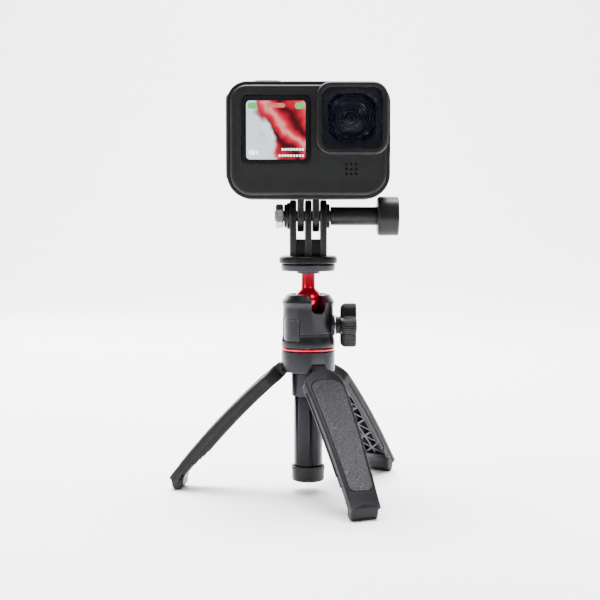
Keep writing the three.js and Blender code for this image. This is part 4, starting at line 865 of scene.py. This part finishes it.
for side, sign in (("left", -1), ("right", 1)):
    low, high = extent(f"finger_{side}")
    near, far = (sign * 4.9, sign * 1.8) if sign < 0 else (1.8, 4.9)
    blade = slab(finger_line, near, far, 0.6, "yz")
    root = slab(rounded(high[0] - low[0], 2 * PRONG_R - 0.3, 0.8), BODY_LOW_Z + 0.6, cradle_top - 0.3, 0.2,
                "xy",
                ((low[0] + high[0]) / 2, 0))
    put(f"folding_finger_{side}", joined(blade, root), base_nylon, "camera", "mount_plastic",
        f"finger_{side}")
    carry(f"finger_pin_{side}", zinc_steel)
spring = slab(rounded(2.8, 11, 0.4), BODY_LOW_Z + 0.3, cradle_top - 0.1, 0.2, "xy")
put("finger_spring_plate", spring, zinc_steel, "camera", "steel")

# Printed shrink sleeve on the cell: satin grey film with a slight ripple.
carry("battery", recipe("satin_shrink_film", "#3a3d42", 0.35, 3.0, 0.03, 0.05, "#5a5d62"))
# Glass-epoxy board under green resist: dark green gloss over a fine weave.
board_green = recipe("green_resist_board", "#1c4a30", 0.3, 0.6, 0.006, 0.06, "#2f7a50")
for node in ("main_board", "image_sensor_board"):
    carry(node, board_green)
carry("speaker", recipe("black_speaker_mesh", "#0c0c0d", 0.6, 0.6, 0.02, 0.05, "#1a1a1c", 0.3))


# ---------------------------------------------------------------------------------------------
# The front cover: a moulded plate with a recess for the small screen, a round opening for the
# lens cover's neck and nine sound holes in rows of three.
low, high = extent("front_cover")
COVER_FRONT, COVER_BACK = low[1], high[1]
screen_low, screen_high = extent("front_screen")
lens_at = np.array(joints["lens_cover_twist"]["pos_m"]) / MM - foot / MM
LENS_X, LENS_Z = lens_at[0], lens_at[2]
cover = slab(rounded(high[0] - low[0], high[2] - low[2], TOP_CORNER - 1.7, FOOT_CORNER - 1.7, 16),
             COVER_FRONT, COVER_BACK,
             (1.3, 0.2), "xz", ((low[0] + high[0]) / 2, (low[2] + high[2]) / 2), 8)
neck_r = 13.1
opening = turned([(0, COVER_FRONT - 3), (neck_r + 0.3, COVER_FRONT - 3), (neck_r + 0.3, COVER_BACK + 3),
                  (0, COVER_BACK + 3)],
                 (LENS_X, 0, LENS_Z), "y")
hole_x, hole_z, HOLE_PITCH, HOLE_R = 18.5, BODY_LOW_Z + 13, 2.1, 0.55
hole_places = [(hole_x + i * HOLE_PITCH, 0, hole_z + k * HOLE_PITCH) for i in (-1, 0, 1) for k in (-1, 0, 1)]
holes = [turned([(0, COVER_FRONT - 3), (HOLE_R, COVER_FRONT - 3), (HOLE_R, COVER_BACK + 3),
                 (0, COVER_BACK + 3)], place, "y", 24) for place in hole_places]
cover = worked(cover, around("front_screen", 0.3, 2.4, COVER_FRONT - 2, COVER_FRONT + 1), opening,
               joined(*holes))
put("moulded_front_cover", cover, soft_coat, "camera", "camera_shell", "front_cover", crease=32)


# ---------------------------------------------------------------------------------------------
# The screens: toughened glass, black behind. The front one is lit with an abstract picture of
# soft red folds on pale blue, and plain coloured marks over it.
black_glass, tree, surface = new_material("black_backed_toughened_glass", Specular_IOR_Level=0.35, IOR=1.5)
where = add(tree, "ShaderNodeTexCoord").outputs["Object"]
smear = add(tree, "ShaderNodeTexNoise", Vector=where, Scale=1 / (9 * MM), Detail=5.0)
film = add(tree, "ShaderNodeMapRange", Value=smear.outputs[0], From_Min=0.35, From_Max=0.75, To_Min=0.05,
           To_Max=0.16)
tree.links.new(film.outputs[0], surface.inputs["Roughness"])
tone = add(tree, "ShaderNodeMix", {"data_type": "RGBA"}, n0=smear.outputs[0], n6=linear("#0b0c0e"),
           n7=linear("#131417"))
tree.links.new(tone.outputs[2], surface.inputs["Base Color"])


def glass_plate(node, corner, ease=0.25):
    """A screen's glass with a rounded outline and eased rims, flush with its recess."""
    low, high = extent(node)
    middle = (low + high) / 2
    return slab(rounded(high[0] - low[0], high[2] - low[2], corner), low[1], high[1], ease, "xz",
                (middle[0], middle[2]))


put("front_screen_glass", glass_plate("front_screen", 2.4), black_glass, "camera", "screen_glass",
    "front_screen")
put("rear_screen_glass", glass_plate("rear_screen", 4.7), black_glass, "camera", "screen_glass",
    "rear_screen")
low, high = extent("rear_screen")
dim, tree, surface = new_material("unlit_display_film", Roughness=0.22, Specular_IOR_Level=0.5)
where = add(tree, "ShaderNodeTexCoord").outputs["Object"]
smear = add(tree, "ShaderNodeTexNoise", Vector=where, Scale=1 / (14 * MM), Detail=2.0)
tone = add(tree, "ShaderNodeMix", {"data_type": "RGBA"}, n0=smear.outputs[0], n6=linear("#0e0f12"),
           n7=linear("#17191f"))
tree.links.new(tone.outputs[2], surface.inputs["Base Color"])
rear_film = slab(rounded(50, 31, 1.5), high[1] - 0.2, high[1] + 0.03, 0.02, "xz",
                 (0, (low[2] + high[2]) / 2))
put("rear_display_film", rear_film, dim, "camera", "screen_glass")

PICTURE = 25.6
PICTURE_X, PICTURE_Z = (screen_low[0] + screen_high[0]) / 2, (screen_low[2] + screen_high[2]) / 2
picture, tree, surface = new_material("lit_abstract_picture", Base_Color=linear("#050505"), Roughness=0.12,
                                      Specular_IOR_Level=0.5)
where = add(tree, "ShaderNodeTexCoord").outputs["Object"]
centre = (np.array([PICTURE_X, 0, PICTURE_Z]) * MM + foot).tolist()
local = add(tree, "ShaderNodeVectorMath", {"operation": "SUBTRACT"}, n0=where, n1=centre).outputs[0]
flow = add(tree, "ShaderNodeTexNoise", Vector=local, Scale=1 / (11 * MM), Detail=2.0)
folds = add(tree, "ShaderNodeVectorMath", {"operation": "MULTIPLY_ADD"}, n0=flow.outputs["Color"],
            n1=(0.016, 0.0, 0.016), n2=local)
waves = add(tree, "ShaderNodeTexWave", {"wave_type": "BANDS", "bands_direction": "DIAGONAL"},
            Vector=folds.outputs[0],
            Scale=34.0, Distortion=2.5, Detail=1.0)
silk = add(tree, "ShaderNodeValToRGB", n0=waves.outputs["Fac"])
stops = silk.color_ramp.elements
for place, colour in ((0.0, "#38040e"), (0.25, "#960a20"), (0.6, "#bc122c"), (0.85, "#d23a50"),
                      (1.0, "#e08a80")):
    stop = stops[0] if place == 0.0 else stops[-1] if place == 1.0 else stops.new(place)
    stop.position, stop.color = place, linear(colour)
parts = add(tree, "ShaderNodeSeparateXYZ", Vector=folds.outputs[0])
lean = add(tree, "ShaderNodeMath", {"operation": "MULTIPLY_ADD"}, n0=parts.outputs["Z"], n1=0.4,
           n2=parts.outputs["X"])
side_mask = add(tree, "ShaderNodeMapRange", {"interpolation_type": "SMOOTHSTEP"}, Value=lean.outputs[0],
                From_Min=0.0082, From_Max=0.0050)
sky = add(tree, "ShaderNodeMix", {"data_type": "RGBA"}, n0=flow.outputs[0], n6=linear("#ffffff"),
          n7=linear("#a9c9e0"))
scene_tone = add(tree, "ShaderNodeMix", {"data_type": "RGBA"}, n0=side_mask.outputs[0], n6=silk.outputs[0],
                 n7=sky.outputs[2])
tree.links.new(scene_tone.outputs[2], surface.inputs["Emission Color"])
surface.inputs["Emission Strength"].default_value = 1.8
face = screen_low[1]
put("lit_front_picture", slab(rounded(PICTURE, PICTURE - 0.4, 1.6), face - 0.03, face + 0.2, 0.01, "xz",
                              (PICTURE_X, PICTURE_Z)), picture, "camera", "screen_glass")


def lit_mark(name, colour, strength, *shapes):
    """A plain lit mark on the picture: flat shapes given as x, z, width, height and corner."""
    material, tree, surface = new_material(f"lit_{name}", Base_Color=linear("#101010"), Roughness=0.12)
    where = add(tree, "ShaderNodeTexCoord").outputs["Object"]
    haze = add(tree, "ShaderNodeTexNoise", Vector=where, Scale=1 / (1.5 * MM), Detail=1.0)
    pale = tuple(0.8 * channel + 0.2 for channel in linear(colour)[:3]) + (1.0,)
    tone = add(tree, "ShaderNodeMix", {"data_type": "RGBA"}, n0=haze.outputs[0], n6=linear(colour), n7=pale)
    tree.links.new(tone.outputs[2], surface.inputs["Emission Color"])
    surface.inputs["Emission Strength"].default_value = strength
    plates = [slab(rounded(w, h, c, steps=6), face - 0.06, face, 0.01, "xz", (PICTURE_X + x, PICTURE_Z + z))
              for x, z, w, h, c in shapes]
    put(f"screen_{name}", joined(*plates), material, "camera", "screen_glass")


lit_mark("green_marks", "#22c84a", 1.5, (-10.2, 10.4, 3.9, 2.7, 1.0), (10.2, 10.4, 3.9, 2.7, 1.0))
lit_mark("orange_mark", "#d8502c", 1.4, (0, 10.6, 8.2, 2.0, 1.0))
lit_mark("white_marks", "#ffffff", 3.0, (-10.4, -9.6, 2.8, 2.2, 0.6), (-8.2, -9.6, 0.9, 1.5, 0.2),
         *[(2.9 + 1.25 * k, -8.3, 0.9, 1.0, 0.2) for k in range(8)],
         *[(1.6 + 1.25 * k, -11.0, 0.8, 0.9, 0.2) for k in range(9)])


# ---------------------------------------------------------------------------------------------
# The lens: a black barrel of turned steps round a domed front element, with baffle rings that
# lead down to a small inner lens.
low, high = extent("lens_barrel")
ring_front = low[1]
RING_R, GLASS_R, PUPIL_R = 9.8, 7.4, 3.1

# Turned aluminium, dyed black and blasted: a dead black with thin bright lines on its edges, partly rub wear
# and partly a painted highlight.
lens_black = recipe("dull_black_lens_metal", "#0a0a0c", 0.3, 0.6, 0.001, 0.03, "#9a9aa2", 0.5,
                    Specular_IOR_Level=0.3)
steps = [(RING_R + 0.2, ring_front + 1.0), (RING_R, ring_front), (RING_R - 0.45, ring_front),
         (RING_R - 0.75, ring_front + 0.5),
         (RING_R - 1.1, ring_front + 0.5), (RING_R - 1.3, ring_front + 0.25),
         (GLASS_R + 0.75, ring_front + 0.35),
         (GLASS_R + 0.35, ring_front + 1.0), (GLASS_R + 0.3, ring_front + 4.2), (6.6, ring_front + 4.6),
         (6.5, ring_front + 5.1),
         (5.7, ring_front + 5.2), (5.6, ring_front + 5.7), (4.8, ring_front + 5.8), (4.7, ring_front + 6.3),
         (3.9, ring_front + 6.4),
         (3.8, ring_front + 6.0), (3.3, ring_front + 6.0), (PUPIL_R, ring_front + 6.6), (PUPIL_R, high[1]),
         (RING_R - 0.8, high[1]),
         (RING_R - 0.8, ring_front + 10), (RING_R + 1.6, ring_front + 10), (RING_R + 1.6, ring_front + 7.6),
         (RING_R, ring_front + 7.6)]
barrel = turned(eased(steps, 0.1, 4), (LENS_X, 0, LENS_Z), "y", 128)
put("stepped_lens_barrel", barrel, lens_black, "camera", "soft_black_plastic", "lens_barrel", crease=25)

# Optical glass with a multilayer coat that stops most reflections, drawn as a nearly clear black
# skin: dark, with only faint glints.
coated_glass, tree, surface = new_material("multicoated_optical_glass", Alpha=0.1, Roughness=0.03,
                                           Specular_IOR_Level=1.0)
where = add(tree, "ShaderNodeTexCoord").outputs["Object"]
dust = add(tree, "ShaderNodeTexNoise", Vector=where, Scale=1 / (4 * MM), Detail=1.0)
tint = add(tree, "ShaderNodeMix", {"data_type": "RGBA"}, n0=dust.outputs[0], n6=linear("#05060a"),
           n7=linear("#0c0f1a"))
tree.links.new(tint.outputs[2], surface.inputs["Base Color"])
low, high = extent("lens_front_element")
r = np.linspace(0, GLASS_R, 24)
dome = np.column_stack([r, low[1] + 2.0 * (r / GLASS_R) ** 2])
bowl = np.column_stack([r[::-1] * 0.96, low[1] + 1.1 + 2.5 * (r[::-1] / GLASS_R) ** 2])
element = turned(np.concatenate([dome, bowl]), (LENS_X, 0, LENS_Z), "y", 128)
put("domed_front_element", element, coated_glass, "camera", "lens_glass", "lens_front_element", crease=40)
inner_glass, tree, surface = new_material("deep_inner_lens", Roughness=0.06, Specular_IOR_Level=0.6)
where = add(tree, "ShaderNodeTexCoord").outputs["Object"]
spot = add(tree, "ShaderNodeTexNoise", Vector=where, Scale=1 / (3 * MM), Detail=1.0)
tone = add(tree, "ShaderNodeMix", {"data_type": "RGBA"}, n0=spot.outputs[0], n6=linear("#050507"),
           n7=linear("#12121a"))
tree.links.new(tone.outputs[2], surface.inputs["Base Color"])
r = np.linspace(0, PUPIL_R - 0.1, 14)
deep = ring_front + 6.3
pupil = turned(np.concatenate([np.column_stack([r, deep + 0.9 * (r / PUPIL_R) ** 2]),
                               [(PUPIL_R - 0.1, deep + 2), (0, deep + 2)]]),
               (LENS_X, 0, LENS_Z), "y")
iris_line = eased([(1.15, deep - 0.45), (1.9, deep - 0.35), (1.9, deep + 0.5), (1.15, deep + 0.5)], 0.1, 3)
put("inner_lens", pupil, inner_glass, "camera", "lens_glass")
put("inner_lens_ring", turned(iris_line, (LENS_X, 0, LENS_Z), "y"), lens_black, "camera",
    "soft_black_plastic")


# ---------------------------------------------------------------------------------------------
# The lens cover: a square moulded frame on a round neck that turns in the front cover, with a
# flat window of coated glass bonded in its face.
low, high = extent("lens_cover_frame")
hood_mid = ((low[0] + high[0]) / 2, (low[2] + high[2]) / 2)
HOOD_W, HOOD_H, HOOD_CORNER = high[0] - low[0], high[2] - low[2], 6.5
WINDOW, WINDOW_CORNER = 25.6, 4.0
hood_front, hood_back = low[1], COVER_FRONT - 0.3


def hood_ring(inset, depth):
    """The frame's outline drawn in, at a depth."""
    line = rounded(HOOD_W, HOOD_H, HOOD_CORNER, steps=14)(inset) + np.array(hood_mid)
    return np.column_stack([line[:, 0], np.full(len(line), depth), line[:, 1]])


def bore_ring(radius, depth):
    """A circle round the lens, point for point with the frame's outline."""
    spoke = hood_ring(0, 0)[:, [0, 2]] - np.array([LENS_X, LENS_Z])
    spoke = spoke / np.linalg.norm(spoke, axis=1, keepdims=True) * radius
    return np.column_stack([LENS_X + spoke[:, 0], np.full(len(spoke), depth), LENS_Z + spoke[:, 1]])


WINDOW_IN = (HOOD_W - WINDOW) / 2 - 0.3
round_over = np.linspace(0, math.pi / 2, 7)
stack = [hood_ring(WINDOW_IN, hood_front + 1.4), hood_ring(WINDOW_IN, hood_front + 0.2),
         hood_ring(WINDOW_IN - 0.12, hood_front + 0.04),
         hood_ring(WINDOW_IN - 0.2, hood_front), hood_ring(1.2, hood_front)]
stack += [hood_ring(1.1 * (1 - math.sin(a)), hood_front + 1.1 * (1 - math.cos(a))) for a in round_over]
stack += [hood_ring(0, hood_front + 2.2), hood_ring(0.32, hood_front + 2.35),
          hood_ring(0.32, hood_front + 2.75),
          hood_ring(0, hood_front + 2.9), hood_ring(0, hood_back - 0.5), hood_ring(0.15, hood_back - 0.1),
          hood_ring(0.4, hood_back),
          hood_ring(1.5, hood_back), bore_ring(neck_r, hood_back), bore_ring(neck_r, high[1] - 0.3),
          bore_ring(neck_r - 0.3, high[1]),
          bore_ring(11.9, high[1]), bore_ring(11.7, high[1] - 0.2), bore_ring(11.7, hood_front + 1.8),
          bore_ring(11.85, hood_front + 1.5),
          bore_ring(12.1, hood_front + 1.4)]
put("square_lens_cover_frame", loft(stack, capped=False), black_abs, "lens_cover", "soft_black_plastic",
    "lens_cover_frame", crease=30)

# Toughened glass with the same coat: a faint navy sheen over the lens.
cover_glass, tree, surface = new_material("coated_cover_glass", Alpha=0.16, Roughness=0.03,
                                          Specular_IOR_Level=1.0,
                                          Specular_Tint=linear("#aebcff"))
where = add(tree, "ShaderNodeTexCoord").outputs["Object"]
dust = add(tree, "ShaderNodeTexNoise", Vector=where, Scale=1 / (12 * MM), Detail=1.0)
tint = add(tree, "ShaderNodeMix", {"data_type": "RGBA"}, n0=dust.outputs[0], n6=linear("#06070c"),
           n7=linear("#0d1122"))
tree.links.new(tint.outputs[2], surface.inputs["Base Color"])
low, high = extent("lens_cover_glass")
window = slab(rounded(WINDOW, WINDOW, WINDOW_CORNER), low[1], high[1], 0.12, "xz", hood_mid)
put("flat_cover_window", window, cover_glass, "lens_cover", "lens_glass", "lens_cover_glass")


# ---------------------------------------------------------------------------------------------
# The shutter button on the top and the power button on the right: moulded caps, each with a
# shallow dish that the fingertip finds.
def dished(node, corner, plane, dish, sink):
    """A button's cap with rounded rims and a shallow oval dish in its outer face."""
    low, high = extent(node)
    axis, (a, b) = {"xy": (2, (0, 1)), "yz": (0, (1, 2))}[plane]
    middle = (low + high) / 2
    size = high - low
    cap = slab(rounded(size[a], size[b], corner), low[axis], high[axis], (0.1, 0.5), plane,
               (middle[a], middle[b]))
    oval = slab(rounded(size[a] - dish, size[b] - dish, corner * 0.7), high[axis] - sink, high[axis] + 1,
                (0.25, 0.02), plane,
                (middle[a], middle[b]))
    return worked(cap, oval)


button_abs = recipe("satin_black_button_abs", "#0e0e10", 0.4, 0.5, 0.006, 0.05, "#343437",
                    Specular_IOR_Level=0.25)
put("dished_shutter_button", dished("shutter_button", 3.4, "xy", 2.6, 0.25), button_abs, "shutter_button",
    "button_plastic",
    "shutter_button")
put("dished_power_button", dished("power_button", 2.6, "yz", 2.4, 0.25), button_abs, "power_button",
    "button_plastic",
    "power_button")


# ---------------------------------------------------------------------------------------------
# The battery door on the left: a moulded lid hinged along its top, with a soft seal inside and a
# ribbed latch that slides down in a slot near its foot.
latch_low, latch_high = extent("door_latch")
mid = (door_low + door_high) / 2
lid = slab(rounded(door_high[1] - door_low[1], door_high[2] - door_low[2], 4.4), door_low[0], door_high[0],
           (0.7, 0.1), "yz",
           (mid[1], mid[2]))
latch_mid = (latch_low + latch_high) / 2
slot = slab(rounded(7.6, latch_high[2] - latch_low[2] + 2.2, 1.9), -HALF - 2, latch_high[0] + 0.3, 0.05,
            "yz",
            (latch_mid[1], latch_mid[2] - 0.8))
put("hinged_battery_door", worked(lid, slot), soft_coat, "battery_door", "camera_shell", "battery_door")
tab = slab(rounded(7, latch_high[2] - latch_low[2], 1.6), latch_low[0], latch_high[0], (0.3, 0.1), "yz",
           (latch_mid[1], latch_mid[2]))
grooves = [slab(rounded(4.6, 0.4, 0.19), latch_low[0] - 1, latch_low[0] + 0.25, 0.05, "yz",
                (latch_mid[1], latch_mid[2] + z))
           for z in (-1.0, 0.0, 1.0)]
put("ribbed_door_latch", worked(tab, *grooves), black_abs, "door_latch", "soft_black_plastic", "door_latch")
carry("door_seal", foot_rubber)
